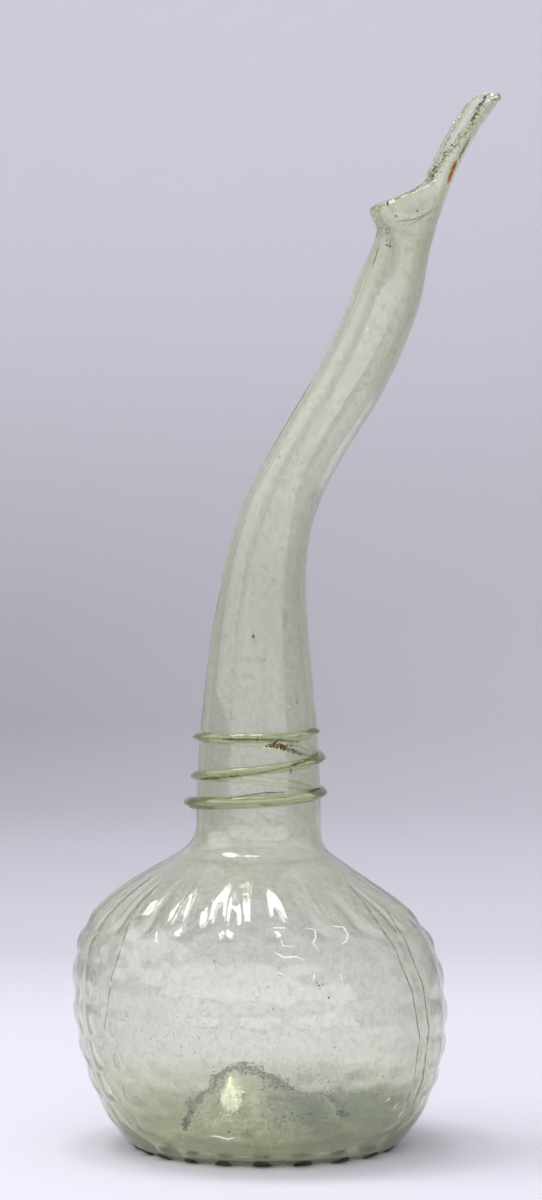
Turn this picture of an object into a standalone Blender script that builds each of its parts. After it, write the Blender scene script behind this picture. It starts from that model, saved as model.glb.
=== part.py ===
"""A swan-neck sprinkler bottle of clear blown glass.

The globe is lobed like a melon and crossed by rows of bosses, and it stands on the pads of its
lobes round a domed, lopsided kick. The neck rises straight, bends over towards +X, narrows at the throat
and opens into a mouth whose far side is drawn out into a long channelled tongue. A thread of glass
is wound round the lower neck and fused to it. The bottle is one piece: one wall, hollow and open
at the mouth. Its wall is modelled in three lengths, the globe with the lower neck, the bend and the
mouth, which meet face to face across a hairline joint, so that each length has a straight bore.

The foot stands on z = 0, the neck bends in the XZ plane, and the origin is the middle of the
bottle's footprint, so the globe's own axis stands a little to -X of it.
"""
import math

import bmesh
import bpy
from mathutils import Vector

MM = 0.001

# The globe
BODY_RADIUS = 57.2 * MM
BELLY_HEIGHT = 43.0 * MM
SHOULDER_HEIGHT = 89.0 * MM
SHOULDER_FILLET = 4.8 * MM
SHOULDER_SLOPE = math.radians(32.0)
FOOT_RADIUS = 37.0 * MM
FOOT_PAD_WIDTH = 2.4 * MM
# The kick is a lopsided dome, whose top leans to -X
KICK_HEIGHT = 20.0 * MM
KICK_RADIUS = 22.0 * MM
KICK_SHIFT = -8.5 * MM
# The globe leans a little: its foot stands to +X of the neck's axis and its shoulder to -X
FOOT_SHIFT = 1.9 * MM
SHOULDER_SHIFT = -4.0 * MM

# The moulded relief
LOBES = 22
LOBE_UNEVENNESS = 0.16
# Where the grooves between the rows of bosses run, as shares of the height to the shoulder
ROW_GROOVES = (0.073, 0.178, 0.285, 0.402, 0.528, 0.663, 0.762)
BOSS_DEPTH = 0.75 * MM
FLUTE_DEPTH = 1.4 * MM

# The neck, whose bend and throat are places in the XZ plane measured from the place before them
NECK_FILLET = 9.0 * MM
NECK_BASE_RADIUS = 19.1 * MM
NECK_WAIST_RADIUS = 10.1 * MM
NECK_SWELL = 0.45 * MM
THROAT_RADIUS = 8.7 * MM
NECK_RISE = 130.0 * MM
NECK_REACH = 24.6 * MM
NECK_LEAN = math.radians(32.0)
THROAT_RISE = 49.4 * MM
THROAT_REACH = 19.9 * MM
THROAT_LEAN = math.radians(14.0)

# The mouth and the tongue, whose lengths run up the outer line of the tongue from the throat
LIP_LENGTH = 5.5 * MM
LIP_RADIUS = 10.6 * MM
TONGUE_START = 17.0 * MM
TONGUE_HALF_WIDTH = 5.3 * MM
TONGUE_RISE = 45.1 * MM
TONGUE_REACH = 21.5 * MM
TONGUE_LEAN = math.radians(39.0)
TONGUE_ROUNDING = 9.0 * MM
TONGUE_TWIST = math.radians(25.0)

# The walls
BODY_WALL = 2.4 * MM
HEEL_THICKNESS = 4.0 * MM
FLOOR_THICKNESS = 3.5 * MM
NECK_WALL = 2.0 * MM
RIM_WALL = 1.7 * MM

# Where the three lengths of the wall meet, as heights up the neck's middle line
LOWER_JOINT = 150.0 * MM
UPPER_JOINT = 228.0 * MM
JOINT_GAP = 0.3 * MM

# The thread round the lower neck, with its height above the foot of the neck at each half turn
THREAD_RADIUS = 1.35 * MM
THREAD_STAND_OFF = 0.65 * MM
BLOB_RADIUS = 2.0 * MM
THREAD_START_HEIGHT = 6.6 * MM
THREAD_CLIMBS = (3.3 * MM, 4.6 * MM, 6.2 * MM, 6.1 * MM, 1.0 * MM)
THREAD_SHORT_OF_END = 0.05

# How finely the surfaces are divided
BODY_SIDES = 4 * LOBES
NECK_SIDES = 2 * LOBES
BORE_SIDES = LOBES
THREAD_SIDES = 8
THREAD_STEPS_PER_TURN = 21

NECK_START = SHOULDER_HEIGHT + NECK_FILLET
NECK_HEIGHT = NECK_RISE + THROAT_RISE
TIP_REACH = NECK_REACH + THROAT_REACH + THROAT_RADIUS * math.cos(THROAT_LEAN) + TONGUE_REACH
AXIS_X = (BODY_RADIUS - TIP_REACH) / 2


def mix(a, b, t):
    return a + (b - a) * t


def smooth(low, high, value):
    """0 below low, 1 above high and an S curve between."""
    t = min(1.0, max(0.0, (value - low) / (high - low)))
    return t * t * (3 - 2 * t)


def bezier(p, t):
    """A point of a cubic curve and its unit direction."""
    s = 1 - t
    place = [a * s**3 + 3 * b * s * s * t + 3 * c * s * t * t + d * t**3 for a, b, c, d in zip(*p)]
    pull = [(b - a) * s * s + 2 * (c - b) * s * t + (d - c) * t * t for a, b, c, d in zip(*p)]
    return Vector(place), Vector(pull).normalized()


# Outlines of the globe, as curves of (radius, height)
HEEL = (
    (FOOT_RADIUS + FOOT_PAD_WIDTH / 2, 0.0),
    (FOOT_RADIUS + 0.3 * (BODY_RADIUS - FOOT_RADIUS), 0.0),
    (BODY_RADIUS, 0.42 * BELLY_HEIGHT),
    (BODY_RADIUS, BELLY_HEIGHT),
)
SHOULDER_RADIUS = NECK_BASE_RADIUS + SHOULDER_FILLET
SHOULDER_PULL = 0.9 * (BODY_RADIUS - SHOULDER_RADIUS)
SHOULDER = (
    (BODY_RADIUS, BELLY_HEIGHT),
    (BODY_RADIUS, mix(BELLY_HEIGHT, SHOULDER_HEIGHT, 0.58)),
    (
        SHOULDER_RADIUS + SHOULDER_PULL * math.cos(SHOULDER_SLOPE),
        SHOULDER_HEIGHT - SHOULDER_PULL * math.sin(SHOULDER_SLOPE),
    ),
    (SHOULDER_RADIUS, SHOULDER_HEIGHT),
)
COLLAR = (
    (SHOULDER_RADIUS, SHOULDER_HEIGHT),
    (
        SHOULDER_RADIUS - 0.6 * SHOULDER_FILLET,
        SHOULDER_HEIGHT + 0.6 * SHOULDER_FILLET * math.tan(SHOULDER_SLOPE),
    ),
    (NECK_BASE_RADIUS, NECK_START - 0.5 * NECK_FILLET),
    (NECK_BASE_RADIUS, NECK_START),
)
KICK = (
    (0.0, KICK_HEIGHT),
    (0.32 * KICK_RADIUS, 0.94 * KICK_HEIGHT),
    (0.95 * KICK_RADIUS, 0.64 * KICK_HEIGHT),
    (KICK_RADIUS, 0.14 * KICK_HEIGHT),
)
INNER_KICK_RADIUS = KICK_RADIUS + 0.9 * FLOOR_THICKNESS
INNER_KICK = (
    (0.0, KICK_HEIGHT + FLOOR_THICKNESS),
    (0.32 * KICK_RADIUS, 0.94 * KICK_HEIGHT + FLOOR_THICKNESS),
    (0.95 * KICK_RADIUS + 0.9 * FLOOR_THICKNESS, 0.64 * KICK_HEIGHT + 0.6 * FLOOR_THICKNESS),
    (INNER_KICK_RADIUS, HEEL_THICKNESS + 2.0 * MM),
)
GUTTER_RADIUS = FOOT_RADIUS + 2.0 * MM
INNER_RADIUS = BODY_RADIUS - BODY_WALL
INNER_HEEL = (
    (GUTTER_RADIUS, HEEL_THICKNESS),
    (mix(GUTTER_RADIUS, INNER_RADIUS, 0.45), HEEL_THICKNESS),
    (INNER_RADIUS, 0.62 * BELLY_HEIGHT),
    (INNER_RADIUS, BELLY_HEIGHT),
)


def turn_angle(part_of_turn):
    """The angle from -Y towards +X of a share of a turn; the lobes to +X are wider than those to -X."""
    even = 2 * math.pi * part_of_turn
    return even - LOBE_UNEVENNESS * math.cos(even)


def lobe(part_of_turn):
    """1 over most of a lobe, falling to 0 in the groove between two lobes."""
    offset = abs((part_of_turn * LOBES) % 1.0 - 0.5)
    return 1 - smooth(0.25, 0.5, offset)


def boss(share):
    """1 on a row of bosses and 0 in the grooves between rows, by the share of the shoulder's height."""
    for low, high in zip((-ROW_GROOVES[0],) + ROW_GROOVES, ROW_GROOVES):
        if share <= high:
            return 1 - abs(2 * (share - low) / (high - low) - 1) ** 3
    return 0.0


def relief_depth(height, part_of_turn):
    """How far the surface lies under the outline of the lobes' crests."""
    share = height / SHOULDER_HEIGHT
    groove = 1 - lobe(part_of_turn)
    top = ROW_GROOVES[-1]
    if share <= top:
        return BOSS_DEPTH * (1 - (1 - groove) * boss(share))
    flute = FLUTE_DEPTH * groove * (1 - smooth(0.4 * top + 0.6, 1.0, share))
    return mix(BOSS_DEPTH, flute, smooth(top, 0.8 * top + 0.2, share))


def axis_shift(height):
    """How far the globe's middle stands to +X of the neck's axis at a height."""
    share = height / SHOULDER_HEIGHT
    lean = FOOT_SHIFT - (FOOT_SHIFT - SHOULDER_SHIFT) * share * share
    return lean * (1 - smooth(0.86, NECK_START / SHOULDER_HEIGHT, share))


def curve_place(curve, height):
    """The share of a rising outline at which it reaches a height."""
    low, high = 0.0, 1.0
    for _ in range(40):
        middle = (low + high) / 2
        if bezier(curve, middle)[0].y < height:
            low = middle
        else:
            high = middle
    return (low + high) / 2


def round_ring(radius, height, sides, level=None):
    """A ring of the globe, whose heights may differ from point to point."""
    ring = []
    for i in range(sides):
        angle = turn_angle(i / sides)
        r = radius(i / sides) if callable(radius) else radius
        z = height(i / sides) if callable(height) else height
        shift = axis_shift(z if level is None else level)
        ring.append(Vector((AXIS_X + shift + r * math.sin(angle), -r * math.cos(angle), z)))
    return ring


def outline_ring(curve, share, sides, relief=False, inset=0.0):
    """The ring at a share of an outline, moved inwards along the outline's normal."""
    place, along = bezier(curve, share)
    out = Vector((along.y, -along.x))

    def depth(part_of_turn):
        return inset + (relief_depth(place.y, part_of_turn) if relief else 0.0)

    return round_ring(
        lambda part: place.x - out.x * depth(part),
        lambda part: place.y - out.y * depth(part),
        sides,
        place.y,
    )


# The neck's middle line, as curves of (x, z) from the neck's axis
BEND = Vector((NECK_REACH, NECK_START + NECK_RISE))
THROAT = BEND + Vector((THROAT_REACH, THROAT_RISE))
THROAT_PULL = 0.34 * THROAT_RISE
LOWER_NECK = (
    (0.0, NECK_START),
    (0.0, NECK_START + 0.69 * NECK_RISE),
    (0.0, BEND.y - NECK_REACH / math.tan(NECK_LEAN)),
    tuple(BEND),
)
UPPER_NECK = (
    tuple(BEND),
    (BEND.x + THROAT_PULL * math.sin(NECK_LEAN), BEND.y + THROAT_PULL * math.cos(NECK_LEAN)),
    (THROAT.x - THROAT_PULL * math.sin(THROAT_LEAN), THROAT.y - THROAT_PULL * math.cos(THROAT_LEAN)),
    tuple(THROAT),
)
LOWER_SHARE = NECK_RISE / NECK_HEIGHT


def neck_frame(share):
    """The middle of the neck and its direction, at a share of its height from the shoulder."""
    if share <= LOWER_SHARE:
        height = mix(NECK_START, BEND.y, share / LOWER_SHARE)
        return bezier(LOWER_NECK, curve_place(LOWER_NECK, height))
    height = mix(BEND.y, THROAT.y, (share - LOWER_SHARE) / (1 - LOWER_SHARE))
    return bezier(UPPER_NECK, curve_place(UPPER_NECK, height))


def neck_radius(share):
    """The neck's outer radius: wide at the shoulder, thin at the waist, pinched at the throat."""
    taper = math.cos(0.5 * math.pi * min(1.0, share / 0.68)) ** 2
    swell = NECK_SWELL * math.sin(math.pi * min(1.0, max(0.0, (share - 0.6) / 0.4)))
    radius = NECK_WAIST_RADIUS + (NECK_BASE_RADIUS - NECK_WAIST_RADIUS) * taper + swell
    return mix(radius, THROAT_RADIUS, smooth(0.9, 1.0, share))


def section_point(middle, along, radius, angle):
    """A point of a round section square to a direction in the XZ plane."""
    side = Vector((along.y, -along.x))
    flat = middle + side * (radius * math.sin(angle))
    return Vector((AXIS_X + flat.x, -radius * math.cos(angle), flat.y))


def neck_ring(share, sides, inset=0.0):
    middle, along = neck_frame(share)
    radius = neck_radius(share) - inset
    return [section_point(middle, along, radius, turn_angle(i / sides)) for i in range(sides)]


# The outer line of the mouth and tongue in the XZ plane, from the throat to the tip
TONGUE_FOOT = THROAT + THROAT_RADIUS * Vector((math.cos(THROAT_LEAN), -math.sin(THROAT_LEAN)))
TONGUE_TIP = TONGUE_FOOT + Vector((TONGUE_REACH, TONGUE_RISE))
TONGUE_LENGTH = (TONGUE_TIP - TONGUE_FOOT).length
TONGUE_PULL = 0.34 * TONGUE_LENGTH
TONGUE_LINE = (
    tuple(TONGUE_FOOT),
    tuple(TONGUE_FOOT + TONGUE_PULL * Vector((math.sin(THROAT_LEAN), math.cos(THROAT_LEAN)))),
    tuple(TONGUE_TIP - TONGUE_PULL * Vector((math.sin(TONGUE_LEAN), math.cos(TONGUE_LEAN)))),
    tuple(TONGUE_TIP),
)


def mouth_radius(length):
    """The radius of the mouth's wall: it flares at the lip and closes in to the tongue's channel."""
    flare = mix(THROAT_RADIUS, LIP_RADIUS, smooth(0.0, LIP_LENGTH, length))
    return mix(flare, TONGUE_HALF_WIDTH, smooth(0.8 * LIP_LENGTH, 1.1 * TONGUE_START, length))


LIP_SHARE = 0.36
SIDE_SHARE = 0.72


def rim_place(share):
    """Where the rim is, as its angle from the lip's middle and its length above the throat.

    The share runs from 0 at the lip to 1 at the tongue's tip: first up the lip's slope, then
    along the tongue's side, and then round its tip.
    """
    side_end = TONGUE_LENGTH - TONGUE_ROUNDING
    if share < LIP_SHARE:
        t = share / LIP_SHARE
        return 0.5 * math.pi * t, mix(LIP_LENGTH, TONGUE_START, t * t)
    if share < SIDE_SHARE:
        t = (share - LIP_SHARE) / (SIDE_SHARE - LIP_SHARE)
        return 0.5 * math.pi, mix(TONGUE_START, side_end, t)
    t = 0.5 * math.pi * (share - SIDE_SHARE) / (1 - SIDE_SHARE)
    return math.pi * (1 - 0.5 * math.cos(t)), side_end + TONGUE_ROUNDING * math.sin(t)


def mouth_point(part_of_turn, rise, inset=0.0):
    """A point of the mouth's wall: rise is 0 at the throat and 1 at the rim."""
    angle = turn_angle(part_of_turn)
    from_lip = (angle + 0.5 * math.pi) % (2 * math.pi)
    far_side = from_lip > math.pi
    if far_side:
        from_lip = 2 * math.pi - from_lip
    rim_angle, rim_length = rim_place(from_lip / math.pi)
    length = rise * rim_length
    across = mix(from_lip, rim_angle, rise)
    if far_side:
        across = -across
    twist = TONGUE_TWIST * smooth(0.0, TONGUE_START, length)
    foot, along = bezier(TONGUE_LINE, length / TONGUE_LENGTH)
    inwards = Vector((-along.y, along.x))
    middle = foot + inwards * mouth_radius(length)
    return section_point(middle, along, mouth_radius(length) - inset, across - 0.5 * math.pi + twist)


def mouth_ring(rise, sides, inset=0.0):
    return [mouth_point(i / sides, rise, inset) for i in range(sides)]


def rim_ring(sides):
    """The ring round the middle of the rim, which stands half a wall proud of its two edges."""
    ring = []
    for i in range(sides):
        edge = mouth_point(i / sides, 1.0, RIM_WALL / 2)
        below = mouth_point(i / sides, 0.97, RIM_WALL / 2)
        ahead = mouth_point((i + 0.5) / sides, 1.0, RIM_WALL / 2)
        behind = mouth_point((i - 0.5) / sides, 1.0, RIM_WALL / 2)
        along = (ahead - behind).normalized()
        up = edge - below
        up -= along * up.dot(along)
        ring.append(edge + up.normalized() * (0.4 * RIM_WALL))
    return ring


def join_rings(bm, first, second):
    """Faces between two rings, of which one may have twice the points of the other."""
    if len(first) < len(second):
        first, second = second, first
    count = len(second)
    double = len(first) == 2 * count
    for i in range(count):
        after = (i + 1) % count
        if double:
            left, middle, right = first[2 * i], first[2 * i + 1], first[2 * after]
            bm.faces.new((left, middle, second[i]))
            bm.faces.new((middle, second[after], second[i]))
            bm.faces.new((middle, right, second[after]))
        else:
            bm.faces.new((first[i], first[after], second[after], second[i]))


def close_ring(bm, ring, point):
    top = bm.verts.new(point)
    for i, vertex in enumerate(ring):
        bm.faces.new((vertex, ring[(i + 1) % len(ring)], top))


def finish_mesh(bm, name, sharp_angle):
    bmesh.ops.recalc_face_normals(bm, faces=bm.faces)
    mesh = bpy.data.meshes.new(name)
    bm.to_mesh(mesh)
    bm.free()
    mesh.shade_smooth()
    mesh.set_sharp_from_angle(angle=sharp_angle)
    item = bpy.data.objects.new(name, mesh)
    bpy.context.collection.objects.link(item)
    return item


def neck_share(height):
    """A height on the neck's middle line as a share of the neck's height."""
    return (height - NECK_START) / NECK_HEIGHT


def neck_rings(low, high, steps, sides, inset=0.0):
    """Rings of the neck from one share of its height to another."""
    return [neck_ring(mix(low, high, step / steps), sides, inset) for step in range(steps + 1)]


def kick_lean(height):
    """How far the kick's middle leans to +X of the foot's at a height."""
    return KICK_SHIFT * smooth(0.45, 1.1, height / KICK_HEIGHT)


def kick_ring(curve, share, sides):
    """A ring of the kick or of the floor over it."""
    ring = outline_ring(curve, share, sides)
    for point in ring:
        point.x += kick_lean(point.z)
    return ring


def globe_outside():
    """The outside from the kick over the foot and the globe to the foot of the neck."""
    rings = [kick_ring(KICK, share, NECK_SIDES) for share in (0.35, 0.7, 1.0)]
    rings.append(round_ring(FOOT_RADIUS - FOOT_PAD_WIDTH / 2, foot_depth, BODY_SIDES, 0.0))
    rings.append(outline_ring(HEEL, 0.0, BODY_SIDES, relief=True))
    rings.append(relief_ring(0.5 * ROW_GROOVES[0]))
    for low, high in zip(ROW_GROOVES, ROW_GROOVES[1:]):
        rings += [relief_ring(mix(low, high, part)) for part in (0.0, 0.3, 0.7)]
    rings += [relief_ring(mix(ROW_GROOVES[-1], 1.0, part)) for part in (0.0, 0.22, 0.5, 0.78)]
    rings += [outline_ring(COLLAR, share, NECK_SIDES) for share in (0.0, 0.35, 0.7)]
    return rings


def foot_depth(part_of_turn):
    """The height of the foot's inner edge, which is on the ground on each lobe."""
    return relief_depth(0.0, part_of_turn)


def relief_ring(share):
    """A ring of the globe's relief, at a share of the shoulder's height."""
    height = share * SHOULDER_HEIGHT
    curve = HEEL if height < BELLY_HEIGHT else SHOULDER
    return outline_ring(curve, curve_place(curve, height), BODY_SIDES, relief=True)


def globe_inside():
    """The inside from the foot of the neck down to the floor over the kick."""
    rings = [outline_ring(COLLAR, share, BORE_SIDES, inset=NECK_WALL) for share in (0.65, 0.3)]
    for share in (1.0, 0.85, 0.65, 0.4):
        rings.append(outline_ring(SHOULDER, share, NECK_SIDES, inset=BODY_WALL))
    rings += [outline_ring(INNER_HEEL, share, NECK_SIDES) for share in (1.0, 0.72, 0.5, 0.3, 0.12)]
    rings.append(outline_ring(INNER_HEEL, 0.0, BORE_SIDES))
    rings += [kick_ring(INNER_KICK, share, BORE_SIDES) for share in (1.0, 0.65, 0.3)]
    return rings


def skin(bm, rings):
    """Faces over a run of rings, and the run's vertices."""
    vertices = [[bm.verts.new(point) for point in ring] for ring in rings]
    for first, second in zip(vertices, vertices[1:]):
        join_rings(bm, first, second)
    return vertices


def make_globe():
    """The globe with the lower neck, closed by the flat lower joint."""
    joint = neck_share(LOWER_JOINT)
    rings = globe_outside() + neck_rings(0.0, joint, 3, NECK_SIDES)
    rings += neck_rings(joint, 0.0, 3, BORE_SIDES, NECK_WALL) + globe_inside()
    bm = bmesh.new()
    vertices = skin(bm, rings)
    middle = AXIS_X + axis_shift(KICK_HEIGHT) + kick_lean(KICK_HEIGHT)
    close_ring(bm, vertices[0], (middle, 0.0, KICK_HEIGHT))
    close_ring(bm, vertices[-1], (middle, 0.0, KICK_HEIGHT + FLOOR_THICKNESS))
    return finish_mesh(bm, "globe_and_lower_neck", math.radians(50.0))


def make_bend():
    """The neck's bend, a tube between the two joints."""
    low, high = neck_share(LOWER_JOINT + JOINT_GAP), neck_share(UPPER_JOINT)
    bm = bmesh.new()
    rings = neck_rings(low, high, 7, BORE_SIDES) + neck_rings(high, low, 7, BORE_SIDES, NECK_WALL)
    vertices = skin(bm, rings)
    join_rings(bm, vertices[-1], vertices[0])
    return finish_mesh(bm, "neck_bend", math.radians(50.0))


def make_mouth():
    """The upper neck, the throat, the mouth and the tongue, up from the upper joint."""
    low = neck_share(UPPER_JOINT + JOINT_GAP)
    rings = neck_rings(low, 0.94, 4, BORE_SIDES) + neck_rings(0.97, 1.0, 1, NECK_SIDES)
    rings += [mouth_ring(rise / 6, NECK_SIDES) for rise in range(1, 7)] + [rim_ring(NECK_SIDES)]
    rings.append(mouth_ring(1.0, NECK_SIDES, RIM_WALL))
    rings += [mouth_ring(rise, BORE_SIDES, RIM_WALL) for rise in (0.8, 0.6, 0.4, 0.2)]
    rings += neck_rings(1.0, low, 5, BORE_SIDES, NECK_WALL)
    bm = bmesh.new()
    vertices = skin(bm, rings)
    join_rings(bm, vertices[-1], vertices[0])
    return finish_mesh(bm, "mouth_and_tongue", math.radians(50.0))


def thread_height(turns):
    """The thread's height above the foot of the neck, smooth through its half turns."""
    half_turns = min(turns * 2, len(THREAD_CLIMBS) - 1e-6)
    whole = int(half_turns)
    return THREAD_START_HEIGHT + sum(THREAD_CLIMBS[:whole]) + THREAD_CLIMBS[whole] * (half_turns - whole)


def thread_path():
    """Points and radii of the thread, from the blob where it starts to its thin end."""
    turns = len(THREAD_CLIMBS) / 2 - THREAD_SHORT_OF_END
    steps = round(turns * THREAD_STEPS_PER_TURN)
    path = []
    for step in range(steps + 1):
        at = turns * step / steps
        share = thread_height(at) / NECK_HEIGHT
        middle, along = neck_frame(share)
        blob = 1 - smooth(0.0, 0.12, at)
        radius = mix(THREAD_RADIUS, BLOB_RADIUS, blob)
        radius *= mix(1.0, 0.75, smooth(turns - 0.2, turns, at))
        out = neck_radius(share) + mix(THREAD_STAND_OFF, BLOB_RADIUS, blob)
        path.append((section_point(middle, along, out, 2 * math.pi * at - 0.52 * math.pi), radius))
    return path


def make_thread():
    """The wound thread as a tube with rounded ends, sunk a little into the neck."""
    path = thread_path()
    bm = bmesh.new()
    rings = []
    for i, (point, radius) in enumerate(path):
        along = path[min(i + 1, len(path) - 1)][0] - path[max(i - 1, 0)][0]
        along.normalize()
        side = along.cross(Vector((0, 0, 1))).normalized()
        up = side.cross(along)
        ends = ((0.85, 0.5), (0.0, 1.0)) if i == 0 else ((0.0, 1.0), (-0.85, 0.5))
        if 0 < i < len(path) - 1:
            ends = ((0.0, 1.0),)
        for back, share in ends:
            ring = []
            for k in range(THREAD_SIDES):
                angle = 2 * math.pi * k / THREAD_SIDES
                offset = side * math.cos(angle) + up * math.sin(angle)
                ring.append(bm.verts.new(point - along * (back * radius) + offset * (radius * share)))
            rings.append(ring)
    for first, second in zip(rings, rings[1:]):
        join_rings(bm, first, second)
    bm.faces.new(rings[0])
    bm.faces.new(rings[-1])
    return finish_mesh(bm, "thread_guide", math.radians(60.0))


def glass():
    material = bpy.data.materials.new("pale_green_glass")
    material.use_nodes = True
    shader = material.node_tree.nodes["Principled BSDF"]
    shader.inputs["Base Color"].default_value = (0.83, 0.87, 0.78, 1.0)
    shader.inputs["Roughness"].default_value = 0.08
    shader.inputs["Metallic"].default_value = 0.0
    shader.inputs["Transmission Weight"].default_value = 0.9
    shader.inputs["IOR"].default_value = 1.5
    return material


def fuse(item, guide):
    """Melt the guide's shape into the item."""
    guide.hide_render = True
    guide.display_type = "WIRE"
    union = item.modifiers.new("fused_thread", "BOOLEAN")
    union.operation = "UNION"
    union.object = guide


def main():
    for item in list(bpy.data.objects):
        bpy.data.objects.remove(item)
    globe = make_globe()
    material = glass()
    for length in (globe, make_bend(), make_mouth()):
        length.data.materials.append(material)
    fuse(globe, make_thread())


main()
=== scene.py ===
"""The look of the swan-neck sprinkler bottle: one vessel of clear glass, its dirt and its studio."""

import math
import random

import bmesh
import bpy
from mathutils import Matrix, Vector, noise
from mathutils.bvhtree import BVHTree


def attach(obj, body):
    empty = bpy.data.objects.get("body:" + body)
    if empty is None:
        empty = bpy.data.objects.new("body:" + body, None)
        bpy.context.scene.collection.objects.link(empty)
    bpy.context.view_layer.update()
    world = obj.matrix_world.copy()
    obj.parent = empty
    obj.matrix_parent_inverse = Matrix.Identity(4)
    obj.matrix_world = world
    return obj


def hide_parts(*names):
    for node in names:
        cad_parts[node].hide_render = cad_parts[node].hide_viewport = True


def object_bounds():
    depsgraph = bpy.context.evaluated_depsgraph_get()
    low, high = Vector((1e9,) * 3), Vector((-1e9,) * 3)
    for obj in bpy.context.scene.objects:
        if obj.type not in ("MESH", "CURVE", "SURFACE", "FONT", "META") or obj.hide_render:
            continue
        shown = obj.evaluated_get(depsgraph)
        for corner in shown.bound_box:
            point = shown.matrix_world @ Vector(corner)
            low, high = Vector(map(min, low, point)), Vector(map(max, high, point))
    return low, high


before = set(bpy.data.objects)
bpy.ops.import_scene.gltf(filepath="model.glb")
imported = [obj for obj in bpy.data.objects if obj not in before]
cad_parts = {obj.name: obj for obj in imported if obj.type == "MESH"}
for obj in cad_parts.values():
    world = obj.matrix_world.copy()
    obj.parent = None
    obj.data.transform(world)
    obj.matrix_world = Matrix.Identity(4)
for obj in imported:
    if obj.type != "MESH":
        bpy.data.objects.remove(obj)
cad_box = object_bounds()

MM = 0.001

# The bottle's own sizes. They are the solid's, apart from the inside of its heel, which is 4.0 mm
# thick. The worn bosses and the thread's flick and squareness are in the look alone.
BODY_RADIUS = 57.2 * MM
BELLY_HEIGHT = 43.0 * MM
SHOULDER_HEIGHT = 89.0 * MM
SHOULDER_FILLET = 4.8 * MM
SHOULDER_SLOPE = math.radians(32.0)
FOOT_RADIUS = 37.0 * MM
FOOT_PAD_WIDTH = 2.4 * MM
KICK_HEIGHT = 20.0 * MM
KICK_RADIUS = 22.0 * MM
KICK_SHIFT = -8.5 * MM
FOOT_SHIFT = 1.9 * MM
SHOULDER_SHIFT = -4.0 * MM
LOBES = 22
LOBE_UNEVENNESS = 0.16
ROW_GROOVES = (0.073, 0.178, 0.285, 0.402, 0.528, 0.663, 0.762)
BOSS_DEPTH = 0.75 * MM
WORN_BOSSES = 0.5
FLUTE_DEPTH = 1.4 * MM
NECK_FILLET = 9.0 * MM
NECK_BASE_RADIUS = 19.1 * MM
NECK_WAIST_RADIUS = 10.1 * MM
NECK_SWELL = 0.45 * MM
THROAT_RADIUS = 8.7 * MM
NECK_RISE = 130.0 * MM
NECK_REACH = 24.6 * MM
NECK_LEAN = math.radians(32.0)
THROAT_RISE = 49.4 * MM
THROAT_REACH = 19.9 * MM
THROAT_LEAN = math.radians(14.0)
LIP_LENGTH = 5.5 * MM
LIP_RADIUS = 10.6 * MM
TONGUE_START = 17.0 * MM
TONGUE_HALF_WIDTH = 5.3 * MM
TONGUE_RISE = 45.1 * MM
TONGUE_REACH = 21.5 * MM
TONGUE_LEAN = math.radians(39.0)
TONGUE_ROUNDING = 9.0 * MM
TONGUE_TWIST = math.radians(25.0)
BODY_WALL = 2.4 * MM
HEEL_THICKNESS = 3.4 * MM
FLOOR_THICKNESS = 3.5 * MM
NECK_WALL = 2.0 * MM
RIM_WALL = 1.7 * MM
THREAD_RADIUS = 1.35 * MM
THREAD_STAND_OFF = 0.65 * MM
BLOB_RADIUS = 2.0 * MM
THREAD_START_HEIGHT = 6.6 * MM
THREAD_CLIMBS = (3.3 * MM, 4.6 * MM, 6.2 * MM, 6.1 * MM, 1.0 * MM)
THREAD_SHORT_OF_END = 0.05
THREAD_FLICK = 1.2 * MM
THREAD_SQUARENESS = 0.19

# The paper sweep: how it runs and its colour, and the painted light and shade on it: its lightness at
# the left and at the right, by the distance run from under the bottle. They blend within a reach of the
# middle.
SWEEP_START = -0.50
SWEEP_FLAT_END = 0.50
SWEEP_RADIUS = 0.40
SWEEP_LENGTH = 2.6
SWEEP_HALF_WIDTH = 0.50
PAPER_COLOUR = (0.905, 0.885, 0.985)
PAPER_BLEND_REACH = 0.14
PAPER_PAINTED_SHADE = (
    (-0.50, 1.0, 1.0), (0.14, 1.0, 1.0), (0.30, 0.965, 1.0), (0.45, 0.88, 0.94),
    (0.60, 0.745, 0.81), (0.67, 0.63, 0.71), (0.71, 0.52, 0.635), (0.78, 0.435, 0.58),
    (0.86, 0.47, 0.57), (0.95, 0.545, 0.595), (1.03, 0.63, 0.665), (1.12, 0.705, 0.735),
    (1.18, 0.715, 0.755), (2.10, 0.715, 0.755),
)

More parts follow.
